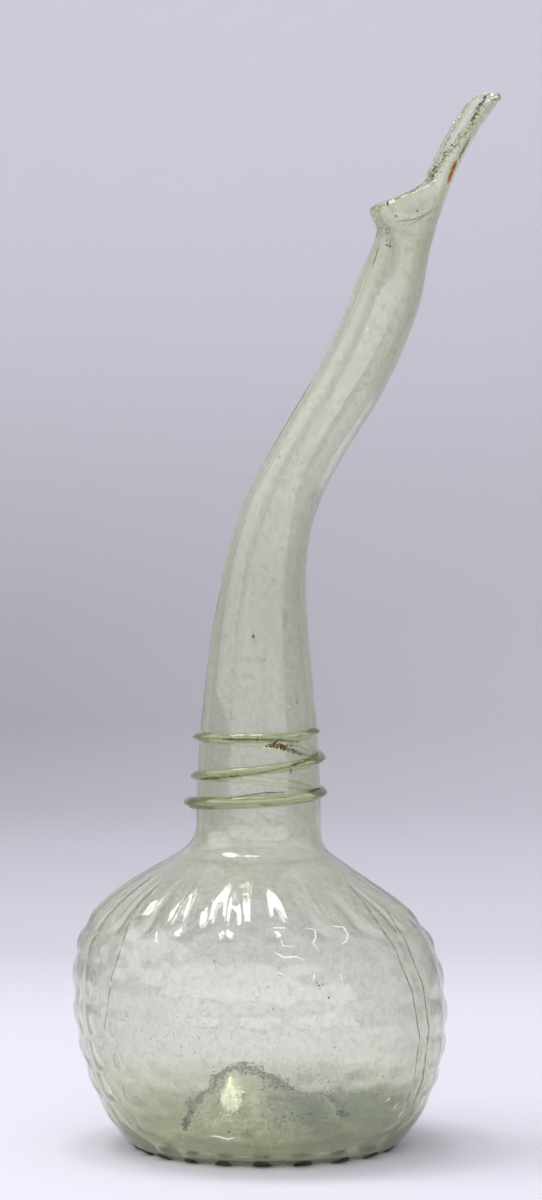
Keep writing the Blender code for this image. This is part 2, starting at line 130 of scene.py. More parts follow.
# Marks on the glass, as places in millimetres across from the neck's axis and up, seen from the
# photo's side. A line starts with half its width in the photo. The shares say how wide its solid
# core and its trail of crumbs are beside that.
BROWN_CORE = 0.45
BROWN_TRAIL = 0.9
CRACK_CORE = 1.6
GROOVE_SHADE_CORE = 0.8
GROOVE_SHADE_TRAIL = 0.9
HIGHLIGHT_CORE = 1.35
BROWN_LINES = (
    (0.30, ((61.2, 301.6), (63.2, 305.3), (64.7, 308.1))),
    (0.38, ((65.0, 313.3), (67.5, 317.3), (69.9, 321.2))),
    (0.30, ((-11.2, 124.1), (1.1, 124.0), (8.6, 123.8), (12.0, 123.2))),
    (0.60, ((3.5, 122.4), (6.6, 122.0), (9.2, 121.3))),
    (0.30, ((9.2, 121.3), (11.5, 120.3), (13.3, 119.3))),
    (0.34, ((-17.0, 112.2), (-10.3, 112.4), (-5.0, 113.0))),
    (0.18, ((-5.0, 113.0), (3.0, 114.2), (10.0, 116.0))),
    (0.34, ((10.0, 116.2), (14.5, 117.4), (17.9, 119.2), (18.3, 120.8))),
    (0.20, ((-12.0, 105.8), (-8.7, 106.2), (1.1, 107.6), (8.0, 107.9))),
    (0.40, ((15.6, 108.1), (17.6, 108.8), (19.6, 109.0))),
    (0.18, ((0.5, 104.1), (4.5, 104.2))),
    (0.14, ((42.1, 282.4), (47.0, 283.0), (51.9, 285.1), (54.9, 287.0))),
    (0.10, ((46.4, 281.1), (49.4, 283.6), (52.5, 284.8))),
)
AMBER_FLAKE = (0.9, ((57.9, 294.2), (58.5, 296.0), (59.4, 298.4), (60.5, 301.0)))
RED_SPECKS = ((-1.7, 155.7), (-40.6, 3.6))
DARK_SPECKS = (
    (42.1, 284.2), (48.5, 285.7), (49.4, 283.3), (52.5, 283.0), (40.2, 275.0), (8.7, 217.5),
    (6.3, 210.5), (13.3, 208.6), (6.6, 185.4), (42.1, 242.6), (11.8, 135.5), (13.6, 154.2),
    (21.6, 44.9), (-9.0, 3.6),
)
CRACKS = (
    (0.22, ((39.3, 288.8), (39.6, 287.3))),
    (0.16, ((9.9, 115.3), (9.9, 113.5))),
    (0.12, ((36.8, 274.7), (35.9, 272.0), (35.0, 269.1))),
)
# Painted shade: dark lines down the grooves of the globe's sides
GROOVE_SHADE_LINES = (
    (0.17, ((37.2, 74.9), (44.8, 62.7), (50.3, 48.9), (52.2, 35.1), (50.3, 19.8), (46.4, 9.1))),
    (0.13, ((34.0, 72.0), (41.5, 60.5), (47.0, 47.0), (49.4, 33.0), (47.6, 19.0), (43.6, 8.2))),
    (0.13, ((28.0, 79.5), (34.0, 71.5), (39.6, 62.7))),
    (0.10, ((-33.2, 79.5), (-39.9, 67.2), (-44.8, 52.0), (-47.3, 35.1))),
    (0.08, ((-23.0, 81.0), (-29.0, 73.5), (-33.5, 65.0))),
)
# Painted highlights: white lines where the bosses' edges catch the light
HIGHLIGHT_LINES = (
    (0.24, ((22.2, 66.9), (25.9, 66.6), (27.4, 64.5), (27.1, 62.4), (25.2, 61.1))),
    (0.22, ((14.5, 66.3), (17.3, 65.7), (17.6, 63.3), (16.7, 61.7), (18.5, 59.0))),
    (0.22, ((4.4, 66.3), (8.4, 66.3))),
    (0.18, ((6.9, 62.7), (7.5, 60.8), (10.9, 60.5))),
    (0.24, ((5.0, 58.7), (7.8, 57.2), (11.5, 57.5), (14.2, 56.2))),
    (0.20, ((5.7, 52.6), (8.1, 51.9), (9.3, 50.4))),
    (0.20, ((17.3, 52.6), (16.7, 50.1))),
    (0.20, ((24.9, 52.3), (25.9, 49.8))),
    (0.30, ((-31.1, 65.4), (-31.4, 62.4), (-30.4, 61.4))),
    (0.22, ((-14.8, 2.4), (-12.7, 2.4), (-9.3, 1.5), (-7.2, 2.1))),
    (0.12, ((38.7, 12.8), (40.5, 14.3))),
    (0.12, ((40.9, 10.6), (43.0, 12.8))),
    (0.12, ((42.7, 8.2), (44.8, 10.6))),
)
# Painted glints: white dots on the tongue's rim
GLINT_DOTS = (
    (53.1, 298.6), (55.8, 301.0), (55.8, 299.8), (57.4, 303.2),
    (62.0, 308.7), (63.8, 309.3), (59.8, 312.4), (61.4, 314.2),
)
TONGUE_BAND = (
    (52.0, 295.0), (54.6, 298.8), (58.0, 303.4), (61.0, 307.2), (63.8, 310.3), (66.2, 313.4),
)
TONGUE_FAR_RIM = (
    (51.0, 294.6), (53.5, 298.6), (57.0, 305.8), (60.4, 312.2), (63.8, 318.0), (67.4, 321.6),
)
LIP_BAND = ((34.2, 284.6), (36.4, 286.6), (39.5, 288.2), (44.1, 290.2), (48.7, 292.6))
THROAT_BAND = ((37.0, 283.4), (38.4, 280.6), (39.6, 277.4), (40.4, 275.2))
KICK_OUTLINE = (
    (-22.2, 7.0), (-17.9, 16.1), (-14.2, 19.8), (-9.9, 23.2), (-5.4, 24.1),
    (1.1, 21.7), (9.6, 18.3), (21.9, 14.3), (26.5, 10.6),
)

# Trails of crumbs: half the width, the stops, how many a millimetre and their least and most size
CRUST_TRAILS = (
    (0.5, TONGUE_BAND, 14, 0.15, 0.5),
    (0.22, TONGUE_FAR_RIM, 6, 0.1, 0.28),
    (0.35, LIP_BAND, 9, 0.1, 0.32),
    (0.7, THROAT_BAND, 12, 0.12, 0.4),
)

# Groups of crumbs: how many, their middle, their spread across and up, their least and most size
# and, where it isn't the usual one, their height beside their size
BROWN_GRAINS = (8, (18.8, 48.9), 0.7, 0.8, 0.1, 0.3, 0.1)
# Painted glints: the bright grains of these groups and of the kick's group below
GLINT_GRAINS = (
    (16, (8.1, 25.9), 1.6, 0.6, 0.12, 0.24),
    (14, (16.4, 26.8), 1.4, 0.7, 0.12, 0.24),
    (60, (21.5, 19.0), 3.2, 2.4, 0.1, 0.28),
    (60, (-5.0, 40.0), 22.0, 14.0, 0.05, 0.11),
)
KICK_GLINT_GRAINS = (40, (-5.0, 21.5), 7.0, 2.0, 0.1, 0.22)
# The third group darkens the right of the kick as painted shade
KICK_CLUMPS = (
    (30, (-17.9, 15.0), 1.3, 1.3, 0.25, 0.6),
    (12, (-21.8, 8.0), 0.8, 0.9, 0.4, 0.8),
    (500, (13.0, 12.0), 6.5, 4.0, 0.1, 0.35),
    (220, (2.0, 9.0), 9.0, 4.0, 0.1, 0.3),
)
PEARLY_CRUMBS = (
    (420, (-7.6, 18.2), 1.2, 1.8, 0.25, 0.6, 0.12),
    (760, (-8.6, 14.2), 1.4, 2.0, 0.25, 0.7, 0.12),
)

# How many other crumbs there are. The pearly flakes lie round a middle with a spread, and face
# between the viewer and the lamps.
OUTLINE_CRUMBS_PER_MM = 22
BROWN_CRUMBS_PER_MM = 11
GROOVE_SHADE_CRUMBS_PER_MM = 9
STRAY_SPECKS = 170
BLOOM_GRAINS = 6000
PEARLY_FLAKES = 420
PEARLY_ACROSS = (-8.2, 0.9)
PEARLY_UP = (17.0, 2.4)
PEARLY_LEAN = Vector((-0.21, -0.62, 0.75))

# The marks' materials: the fineness of the noise, the roughness, how metallic they look, and the
# colours that the noise runs through
MARK_LOOKS = {
    "amber_flake": (500.0, 0.35, 0.0, (0.05, 0.015, 0.002), (0.32, 0.12, 0.012), (0.66, 0.30, 0.05)),
    "brown_residue": (
        1200.0, 0.6, 0.0,
        (0.012, 0.007, 0.001), (0.06, 0.033, 0.005), (0.19, 0.115, 0.02), (0.44, 0.31, 0.08),
    ),
    "tongue_crust": (
        1100.0, 0.45, 0.0,
        (0.12, 0.15, 0.06), (0.32, 0.38, 0.17), (0.54, 0.58, 0.38), (0.82, 0.84, 0.72),
    ),
    "dark_specks_and_groove_shade": (700.0, 0.7, 0.0, (0.01, 0.009, 0.006), (0.04, 0.036, 0.02), (0.13, 0.12, 0.07)),
    # Painted highlights and glints, near white
    "painted_highlights": (500.0, 0.3, 0.0, (0.72, 0.74, 0.70), (0.92, 0.93, 0.90), (1.0, 1.0, 1.0)),
    "kick_crust_and_shade": (420.0, 0.6, 0.0, (0.05, 0.07, 0.045), (0.16, 0.20, 0.13), (0.38, 0.43, 0.28)),
    "pearly_film": (
        420.0, 0.32, 1.0,
        (1.0, 0.72, 0.68), (1.0, 0.97, 0.72), (0.88, 1.0, 0.76), (1.0, 1.0, 0.9), (1.0, 0.86, 0.88),
    ),
    # Painted contact shadows under the foot's lobes
    "painted_contact_shadow": (500.0, 0.8, 0.0, (0.008, 0.009, 0.004), (0.03, 0.033, 0.014), (0.09, 0.09, 0.05)),
    "fine_bloom_and_groove_shade": (
        300.0, 0.5, 0.0,
        (0.08, 0.10, 0.03), (0.22, 0.26, 0.12), (0.46, 0.50, 0.33), (1.0, 1.0, 0.96),
    ),
}

NECK_START = SHOULDER_HEIGHT + NECK_FILLET
NECK_HEIGHT = NECK_RISE + THROAT_RISE
TIP_REACH = NECK_REACH + THROAT_REACH + THROAT_RADIUS * math.cos(THROAT_LEAN) + TONGUE_REACH
AXIS_X = (BODY_RADIUS - TIP_REACH) / 2

# The glass
TRANSMISSION = 0.87
REFRACTION = 1.5
ABSORPTION_COLOUR = (0.83, 0.885, 0.48)
ABSORPTION_DENSITY = 60.0
GLASS_ROUGHNESS = (0.012, 0.09)

# Tints as stops of a place from 0 to 1 and a colour. The glass's own go by millimetres of height.
WHITE = (1.0, 1.0, 1.0)
TINT_REACH = 330.0 * MM
TINTS = (
    (0.0, (0.98, 0.995, 0.86)), (8.0, (0.99, 1.0, 0.86)), (16.0, (0.965, 0.98, 0.88)),
    (27.0, (0.95, 0.955, 0.93)), (36.0, (0.985, 0.985, 0.99)), (66.0, (0.99, 0.99, 1.0)),
    (84.0, (0.985, 0.99, 0.96)), (98.0, (0.93, 0.935, 0.90)), (136.0, (0.93, 0.935, 0.90)),
    (167.0, (0.905, 0.91, 0.875)), (200.0, (0.96, 0.96, 0.93)), (228.0, (0.97, 0.97, 0.935)),
    (258.0, (0.945, 0.945, 0.905)), (275.0, (0.88, 0.885, 0.80)), (290.0, (0.985, 0.99, 0.905)),
)
MOTTLES = ((0.39, (0.84, 0.87, 0.77)), (0.48, (0.985, 0.99, 0.978)), (0.56, WHITE))
MOTTLE_STRETCH = (1.3, 1.3, 1.0)
THREAD_TINTS = ((0.0, WHITE), (1.0, (0.62, 0.67, 0.42)))
# Painted shade: the glass darkens at a slant, towards its sides, partly as its film seen edge-on
SLANT_SHADE_TINTS = (
    (0.12, WHITE), (0.4, (0.94, 0.945, 0.93)), (0.65, (0.89, 0.90, 0.865)), (1.0, (0.86, 0.875, 0.82)),
)

# The film on the floor: how far up the heel it reaches, how thick it is at least, its tints, its
# painted shade off the kick and towards the right and round a place on the right of the kick, and how
# much of it shows from its ragged edge inwards
FILM_EDGE = 0.6
FILM_LIFT = 0.02 * MM
FILM_LEAST = 0.03 * MM
FILM_TINTS = (
    (0.34, (0.30, 0.36, 0.24)), (0.46, (0.68, 0.72, 0.48)),
    (0.56, (0.93, 0.95, 0.66)), (0.68, (1.0, 1.0, 0.80)),
)
FILM_SHADE_TINTS = ((0.0, WHITE), (1.0, (0.34, 0.41, 0.35)))
RIGHT_SHADE_PLACE = Vector((AXIS_X + 14.0 * MM, -12.0 * MM, 10.0 * MM))
RIGHT_SHADE_REACH = 17.0 * MM
RIGHT_SHADE_TINTS = ((0.35, (0.22, 0.30, 0.26)), (1.0, WHITE))
FILM_COVER = ((0.12, 0.0), (0.38, 0.17), (0.64, 0.47), (0.9, 0.87))

# How uneven the blown glass is
NECK_WAVE = 0.12 * MM
BORE_WAVE = 0.3 * MM
BODY_WAVE = 0.1 * MM
KICK_LUMPS = 0.9 * MM
INNER_KICK_LUMPS = 0.7 * MM

# How finely the surfaces are divided, round them and along each part of them. The kick's outline
# starts beside its top, which a fan of faces closes.
BODY_SIDES = 8 * LOBES
FILM_SIDES = 16 * LOBES
NECK_SIDES = 4 * LOBES
THREAD_SIDES = 24
THREAD_STEPS_PER_TURN = 100
THREAD_END_CUTS = (0.0, 0.26, 0.5, 0.71, 0.87, 0.97)
BLOB_STEPS = 30
CRUMB_SIDES = 9
LINE_SIDES = 6
LINE_STEP = 0.35
CONTACT_SHADOW_SIDES = 14
SWEEP_COLUMNS = 4
SWEEP_STEPS = 32
KICK_TOP = 0.02
KICK_RINGS = 36
FOOT_STEP_RINGS = 8
HEEL_RINGS = 68
SHOULDER_RINGS = 72
COLLAR_RINGS = 10
NECK_RINGS = 136
MOUTH_RINGS = 44
RIM_STEPS = 5
INNER_MOUTH_RINGS = 26
INNER_NECK_RINGS = 64
INNER_SHOULDER_RINGS = 62
GUTTER_RINGS = 12
INNER_KICK_RINGS = 40
FILM_EDGE_RINGS = 28
FILM_GUTTER_RINGS = 10
FILM_KICK_RINGS = 44

# The photo's viewpoint, its focal length and half its height in pixels, and its tilt in degrees
EYE = Vector((AXIS_X + 3.825 * MM, -1.0, 0.175))
FOCAL_LENGTH = 3268
HALF_HEIGHT = 600
TILT = 0.473


def mix(a, b, t):
    return a + (b - a) * t


def smooth(low, high, value):
    """0 below low, 1 above high and an S curve between."""
    t = min(1.0, max(0.0, (value - low) / (high - low)))
    return t * t * (3 - 2 * t)


def bezier(p, t):
    """A point of a cubic curve and its unit direction."""
    s = 1 - t
    place = [a * s**3 + 3 * b * s * s * t + 3 * c * s * t * t + d * t**3 for a, b, c, d in zip(*p)]
    pull = [(b - a) * s * s + 2 * (c - b) * s * t + (d - c) * t * t for a, b, c, d in zip(*p)]
    return Vector(place), Vector(pull).normalized()


# Outlines of the globe, as curves of (radius, height)
HEEL = (
    (FOOT_RADIUS + FOOT_PAD_WIDTH / 2, 0.0),
    (FOOT_RADIUS + 0.3 * (BODY_RADIUS - FOOT_RADIUS), 0.0),
    (BODY_RADIUS, 0.42 * BELLY_HEIGHT),
    (BODY_RADIUS, BELLY_HEIGHT),
)
SHOULDER_RADIUS = NECK_BASE_RADIUS + SHOULDER_FILLET
SHOULDER_PULL = 0.9 * (BODY_RADIUS - SHOULDER_RADIUS)
SHOULDER = (
    (BODY_RADIUS, BELLY_HEIGHT),
    (BODY_RADIUS, mix(BELLY_HEIGHT, SHOULDER_HEIGHT, 0.58)),
    (
        SHOULDER_RADIUS + SHOULDER_PULL * math.cos(SHOULDER_SLOPE),
        SHOULDER_HEIGHT - SHOULDER_PULL * math.sin(SHOULDER_SLOPE),
    ),
    (SHOULDER_RADIUS, SHOULDER_HEIGHT),
)
COLLAR = (
    (SHOULDER_RADIUS, SHOULDER_HEIGHT),
    (
        SHOULDER_RADIUS - 0.6 * SHOULDER_FILLET,
        SHOULDER_HEIGHT + 0.6 * SHOULDER_FILLET * math.tan(SHOULDER_SLOPE),
    ),
    (NECK_BASE_RADIUS, NECK_START - 0.5 * NECK_FILLET),
    (NECK_BASE_RADIUS, NECK_START),
)
KICK = (
    (0.0, KICK_HEIGHT),
    (0.32 * KICK_RADIUS, 0.94 * KICK_HEIGHT),
    (0.95 * KICK_RADIUS, 0.64 * KICK_HEIGHT),
    (KICK_RADIUS, 0.14 * KICK_HEIGHT),
)
FOOT_STEP = (
    (KICK_RADIUS, 0.14 * KICK_HEIGHT),
    (KICK_RADIUS + 0.5 * MM, 0.05 * KICK_HEIGHT),
    (mix(KICK_RADIUS, FOOT_RADIUS, 0.4), 0.05 * KICK_HEIGHT),
    (FOOT_RADIUS - FOOT_PAD_WIDTH / 2, 0.0),
)
GUTTER_RADIUS = FOOT_RADIUS + FOOT_PAD_WIDTH / 2
INNER_KICK_RADIUS = KICK_RADIUS + 0.9 * FLOOR_THICKNESS
INNER_KICK_FOOT = HEEL_THICKNESS + 2.0 * MM
INNER_KICK = (
    (0.0, KICK_HEIGHT + FLOOR_THICKNESS),
    (0.32 * KICK_RADIUS, 0.94 * KICK_HEIGHT + FLOOR_THICKNESS),
    (0.95 * KICK_RADIUS + 0.9 * FLOOR_THICKNESS, 0.64 * KICK_HEIGHT + 0.6 * FLOOR_THICKNESS),
    (INNER_KICK_RADIUS, INNER_KICK_FOOT),
)
GUTTER = (
    (INNER_KICK_RADIUS, INNER_KICK_FOOT),
    (INNER_KICK_RADIUS + 0.5 * MM, HEEL_THICKNESS),
    (mix(INNER_KICK_RADIUS, GUTTER_RADIUS, 0.5), HEEL_THICKNESS),
    (GUTTER_RADIUS, HEEL_THICKNESS),
)


def turn_angle(part_of_turn):
    """The angle from the front towards +X at a part of a turn. Lobes at +X are the wider ones."""
    even =2 * math.pi * part_of_turn
    return even - LOBE_UNEVENNESS * math.cos(even)


def lobe(part_of_turn):
    """1 over most of a lobe, falling to 0 in the groove between two lobes."""
    offset = abs((part_of_turn * LOBES) % 1.0 - 0.5)
    return 1 - smooth(0.12, 0.5, offset)


def boss(share):
    """1 on a row of bosses and 0 in the grooves between rows, by the share of the shoulder's height."""
    for low, high in zip((-ROW_GROOVES[0],) + ROW_GROOVES, ROW_GROOVES):
        if share <= high:
            return 1 - smooth(0.15, 1.0, abs(2 * (share - low) / (high - low) - 1))
    return 0.0


def waviness(point, scale, seed):
    """Smooth noise from 0 to 1 with waves about as long as the scale."""
    return 0.5 + 0.5 * noise.noise(Vector(point) / scale + Vector((seed, 2 * seed, -seed)))


def relief_depth(height, part_of_turn):
    """How far the surface lies under the outline of the lobes' crests."""
    share = height / SHOULDER_HEIGHT
    groove = 1 - lobe(part_of_turn)
    top = ROW_GROOVES[-1]
    worn = mix(WORN_BOSSES, 1.0, abs(math.sin(turn_angle(part_of_turn))) ** 3)
    if share <= top:
        return worn * BOSS_DEPTH * (1 - (1 - groove) * boss(share))
    flute = FLUTE_DEPTH * groove * (1 - smooth(top + 0.04, 0.97, share))
    return mix(worn * BOSS_DEPTH, flute, smooth(top, 0.8 * top + 0.2, share))


def axis_shift(height):
    """How far the globe's middle stands to +X of the neck's axis at a height."""
    share = height / SHOULDER_HEIGHT
    lean = FOOT_SHIFT - (FOOT_SHIFT - SHOULDER_SHIFT) * share * share
    return lean * (1 - smooth(0.86, NECK_START / SHOULDER_HEIGHT, share))


def curve_place(curve, height):
    """The share of a rising outline at which it reaches a height."""
    low, high = 0.0, 1.0
    for _ in range(30):
        middle = (low + high) / 2
        if bezier(curve, middle)[0].y < height:
            low = middle
        else:
            high = middle
    return (low + high) / 2


def outline_ring(curve, share, sides, relief=0.0, inset=0.0, wave=0.0, seed=1.0):
    """The ring at a share of an outline, moved inwards along the outline's normal."""
    place, along = bezier(curve, share)
    out = Vector((along.y, -along.x))
    ring = []
    for i in range(sides):
        angle = turn_angle(i / sides)
        x, y = math.sin(angle), -math.cos(angle)
        depth = inset + relief * relief_depth(place.y, i / sides)
        if wave:
            depth += wave * waviness((place.x * x, place.x * y, place.y), 9 * MM, seed)
        radius = place.x - out.x * depth
        height = place.y - out.y * depth
        shift = AXIS_X + axis_shift(place.y)
        ring.append(Vector((shift + radius * x, radius * y, height)))
    return ring


# The neck's middle line, as curves of (x, z) from the neck's axis
BEND = Vector((NECK_REACH, NECK_START + NECK_RISE))
THROAT = BEND + Vector((THROAT_REACH, THROAT_RISE))
THROAT_PULL = 0.34 * THROAT_RISE
LOWER_NECK = (
    (0.0, NECK_START),
    (0.0, NECK_START + 0.69 * NECK_RISE),
    (0.0, BEND.y - NECK_REACH / math.tan(NECK_LEAN)),
    tuple(BEND),
)
UPPER_NECK = (
    tuple(BEND),
    (BEND.x + THROAT_PULL * math.sin(NECK_LEAN), BEND.y + THROAT_PULL * math.cos(NECK_LEAN)),
    (THROAT.x - THROAT_PULL * math.sin(THROAT_LEAN), THROAT.y - THROAT_PULL * math.cos(THROAT_LEAN)),
    tuple(THROAT),
)
LOWER_SHARE = NECK_RISE / NECK_HEIGHT


def neck_frame(share):
    """The middle of the neck and its direction, at a share of its height from the shoulder."""
    if share <= LOWER_SHARE:
        height = mix(NECK_START, BEND.y, share / LOWER_SHARE)
        return bezier(LOWER_NECK, curve_place(LOWER_NECK, height))
    height = mix(BEND.y, THROAT.y, (share - LOWER_SHARE) / (1 - LOWER_SHARE))
    return bezier(UPPER_NECK, curve_place(UPPER_NECK, height))


def neck_radius(share):
    """The neck's outer radius: wide at the shoulder, thin at the waist, pinched at the throat."""
    taper = math.cos(0.5 * math.pi * min(1.0, share / 0.68)) ** 2
    swell = NECK_SWELL * math.sin(math.pi * min(1.0, max(0.0, (share - 0.6) / 0.4)))
    radius = NECK_WAIST_RADIUS + (NECK_BASE_RADIUS - NECK_WAIST_RADIUS) * taper + swell
    return mix(radius, THROAT_RADIUS, smooth(0.9, 1.0, share))


def section_point(middle, along, radius, angle):
    """A point of a round section square to a direction in the XZ plane."""
    side = Vector((along.y, -along.x))
    flat = middle + side * (radius * math.sin(angle))
    return Vector((AXIS_X + flat.x, -radius * math.cos(angle), flat.y))


def neck_ring(share, sides, inset=0.0, wave=0.0, seed=1.0):
    middle, along = neck_frame(share)
    ring = []
    for i in range(sides):
        angle = turn_angle(i / sides)
        radius = neck_radius(share) - inset
        if wave:
            place = (14 * MM * math.sin(angle), 14 * MM * math.cos(angle), 0.4 * share * NECK_HEIGHT)
            radius -= wave * waviness(place, 8 * MM, seed)
        ring.append(section_point(middle, along, radius, angle))
    return ring


# The outer line of the mouth and tongue in the XZ plane, from the throat to the tip
TONGUE_FOOT = THROAT + THROAT_RADIUS * Vector((math.cos(THROAT_LEAN), -math.sin(THROAT_LEAN)))
TONGUE_TIP = TONGUE_FOOT + Vector((TONGUE_REACH, TONGUE_RISE))
TONGUE_LENGTH = (TONGUE_TIP - TONGUE_FOOT).length
TONGUE_PULL = 0.34 * TONGUE_LENGTH
TONGUE_LINE = (
    tuple(TONGUE_FOOT),
    tuple(TONGUE_FOOT + TONGUE_PULL * Vector((math.sin(THROAT_LEAN), math.cos(THROAT_LEAN)))),
    tuple(TONGUE_TIP - TONGUE_PULL * Vector((math.sin(TONGUE_LEAN), math.cos(TONGUE_LEAN)))),
    tuple(TONGUE_TIP),
)


def mouth_radius(length):
    """The radius of the mouth's wall: it flares at the lip and closes in to the tongue's channel."""
    flare = mix(THROAT_RADIUS, LIP_RADIUS, smooth(0.0, LIP_LENGTH, length))
    return mix(flare, TONGUE_HALF_WIDTH, smooth(0.8 * LIP_LENGTH, 1.1 * TONGUE_START, length))


LIP_SHARE = 0.36
SIDE_SHARE = 0.72


def rim_place(share):
    """Where the rim is, as its angle from the lip's middle and its length above the throat."""
    side_end = TONGUE_LENGTH - TONGUE_ROUNDING
    low_side, high_side = 0.43 * math.pi, 0.52 * math.pi
    if share < LIP_SHARE:
        t = share / LIP_SHARE
        return low_side * t, mix(LIP_LENGTH, TONGUE_START, t * t)
    if share < SIDE_SHARE:
        t = (share - LIP_SHARE) / (SIDE_SHARE - LIP_SHARE)
        return mix(low_side, high_side, t), mix(TONGUE_START, side_end, t)
    t = 0.5 * math.pi * (share - SIDE_SHARE) / (1 - SIDE_SHARE)
    return math.pi - (math.pi - high_side) * math.cos(t), side_end + TONGUE_ROUNDING * math.sin(t)


def mouth_point(part_of_turn, rise, inset=0.0):
    """A point of the mouth's wall: rise is 0 at the throat and 1 at the rim."""
    angle = turn_angle(part_of_turn)
    from_lip = (angle + 0.5 * math.pi) % (2 * math.pi)
    far_side = from_lip > math.pi
    if far_side:
        from_lip = 2 * math.pi - from_lip
    rim_angle, rim_length = rim_place(from_lip / math.pi)
    length = rise * rim_length
    across = mix(from_lip, rim_angle, rise)
    if far_side:
        across = -across
    twist = TONGUE_TWIST * mix(0.35, 1.25, length / TONGUE_LENGTH) * smooth(0.0, TONGUE_START, length)
    foot, along = bezier(TONGUE_LINE, length / TONGUE_LENGTH)
    inwards = Vector((-along.y, along.x))
    middle = foot + inwards * mouth_radius(length)
    return section_point(middle, along, mouth_radius(length) - inset, across - 0.5 * math.pi + twist)


def mouth_ring(rise, sides, inset=0.0):
    return [mouth_point(i / sides, rise, inset) for i in range(sides)]


def rim_rings(sides, steps):
    """Rings round the rounded rim, from its outer edge to its inner one."""
    rings = []
    for step in range(1, steps):
        turn = math.pi * step / steps
        ring = []
        for i in range(sides):
            part = i / sides
            edge = mouth_point(part, 1.0, RIM_WALL * (0.5 - 0.5 * math.cos(turn)))
            below = mouth_point(part, 0.97, RIM_WALL / 2)
            ahead = mouth_point((i + 0.5) / sides, 1.0, RIM_WALL / 2)
            behind = mouth_point((i - 0.5) / sides, 1.0, RIM_WALL / 2)
            along = (ahead - behind).normalized()
            up = mouth_point(part, 1.0, RIM_WALL / 2) - below
            up -= along * up.dot(along)
            ring.append(edge + up.normalized() * (0.4 * RIM_WALL * math.sin(turn)))
        rings.append(ring)
    return rings


def join_rings(bm, first, second):
    """Faces between two rings, of which one may have twice the points of the other."""
    if len(first) < len(second):
        first, second = second, first
    count = len(second)
    double = len(first) == 2 * count
    for i in range(count):
        after = (i + 1) % count
        if double:
            left, middle, right = first[2 * i], first[2 * i + 1], first[2 * after]
            bm.faces.new((left, middle, second[i]))
            bm.faces.new((middle, second[after], second[i]))
            bm.faces.new((middle, right, second[after]))
        else:
            bm.faces.new((first[i], first[after], second[after], second[i]))


def skin(bm, rings):
    """Faces over a run of rings."""
    for first, second in zip(rings, rings[1:]):
        join_rings(bm, first, second)


def close_ring(bm, ring):
    """A fan of faces from a ring to its middle."""
    middle = bm.verts.new(sum((vertex.co for vertex in ring), Vector()) / len(ring))
    for i, vertex in enumerate(ring):
        bm.faces.new((vertex, ring[(i + 1) % len(ring)], middle))


def close_tube(bm, rings):
    """Faces over a run of rings and over its two ends."""
    skin(bm, rings)
    bm.faces.new(rings[0])
    bm.faces.new(rings[-1])


def direction_at(run, i):
    """Which way a run of spots goes at one of them. Each spot starts with its place."""
    return (run[min(i + 1, len(run) - 1)][0] - run[max(i - 1, 0)][0]).normalized()


def set_map(bm, layer, places, otherwise=None):
    """Gives each corner of a face its vertex's place on a UV map."""
    for face in bm.faces:
        for loop in face.loops:
            loop[layer].uv = places.get(loop.vert, otherwise)


def inside_box(point):
    """The point, or the nearest one to it that is no further out than the solid reaches."""
    return Vector([min(max(value, low), high) for value, low, high in zip(point, *cad_box)])


def to_object(bm, name):
    bmesh.ops.recalc_face_normals(bm, faces=bm.faces)
    mesh = bpy.data.meshes.new(name)
    bm.to_mesh(mesh)
    bm.free()
    mesh.shade_smooth()
    item = bpy.data.objects.new(name, mesh)
    bpy.context.collection.objects.link(item)
    return item


def spread(count):
    """Shares from 0 to 1, with both ends."""
    return [i / count for i in range(count + 1)]


def turn_through(count):
    """Even angles round a full turn."""
    return [2 * math.pi * i / count for i in range(count)]


def kick_ring(curve, share, sides, rough):
    """A ring of the kick or of the floor over it, which lean to -X at the top and are lumpy."""
    ring = outline_ring(curve, share, sides)
    middle = AXIS_X + FOOT_SHIFT
    for point in ring:
        rise = point.z / KICK_HEIGHT
        lumps = waviness(point, 6 * MM, 5) - 0.5 + 0.35 * (waviness(point, 1.3 * MM, 8) - 0.5)
        point.z += 2 * rough * lumps * smooth(0.1, 0.7, rise)
        if point.x < middle:
            point.x = middle + (point.x - middle) * (1 - 0.2 * smooth(0.25, 0.7, rise))
        point.x += KICK_SHIFT * smooth(0.45, 1.1, rise)
    return ring


def inner_kick_rings(sides, count):
    """The floor over the kick, from the gutter round it to its top."""
    return [kick_ring(INNER_KICK, mix(1.0, KICK_TOP, t), sides, INNER_KICK_LUMPS) for t in spread(count)]


def heel_relief(share):
    """How fully the lobes and bosses stand out on the heel: least a little above the foot."""
    return 1 - 0.6 * smooth(0.05, 0.2, share) * (1 - smooth(0.4, 0.7, share))


def heel_ring(share, sides):
    """A ring of the heel's inside, which follows the outside and thickens towards the foot."""
    inset = mix(HEEL_THICKNESS, BODY_WALL, smooth(0.0, 0.5, share))
    relief = heel_relief(share) * smooth(0.0, 0.25, share)
    return outline_ring(HEEL, share, sides, relief, inset, BODY_WAVE, 9)


def outer_rings():
    """The outside, from the kick over the foot, globe and neck to the rim."""
    rings = [kick_ring(KICK, mix(KICK_TOP, 1.0, t), BODY_SIDES, KICK_LUMPS) for t in spread(KICK_RINGS)]
    rings += [kick_ring(FOOT_STEP, t, BODY_SIDES, 0.0) for t in spread(FOOT_STEP_RINGS)[1:-1]]
    rings += [outline_ring(FOOT_STEP, 1.0, BODY_SIDES, relief=1.0)]
    rings += [outline_ring(HEEL, t, BODY_SIDES, heel_relief(t)) for t in spread(HEEL_RINGS)[:-1]]
    rings += [outline_ring(SHOULDER, t, BODY_SIDES, relief=1.0) for t in spread(SHOULDER_RINGS)[:-1]]
    rings += [outline_ring(COLLAR, t, NECK_SIDES) for t in spread(COLLAR_RINGS)[:-1]]
    rings += [neck_ring(t, NECK_SIDES, wave=NECK_WAVE, seed=3) for t in spread(NECK_RINGS)]
    rings += [mouth_ring(t, NECK_SIDES) for t in spread(MOUTH_RINGS)[1:]]
    return rings


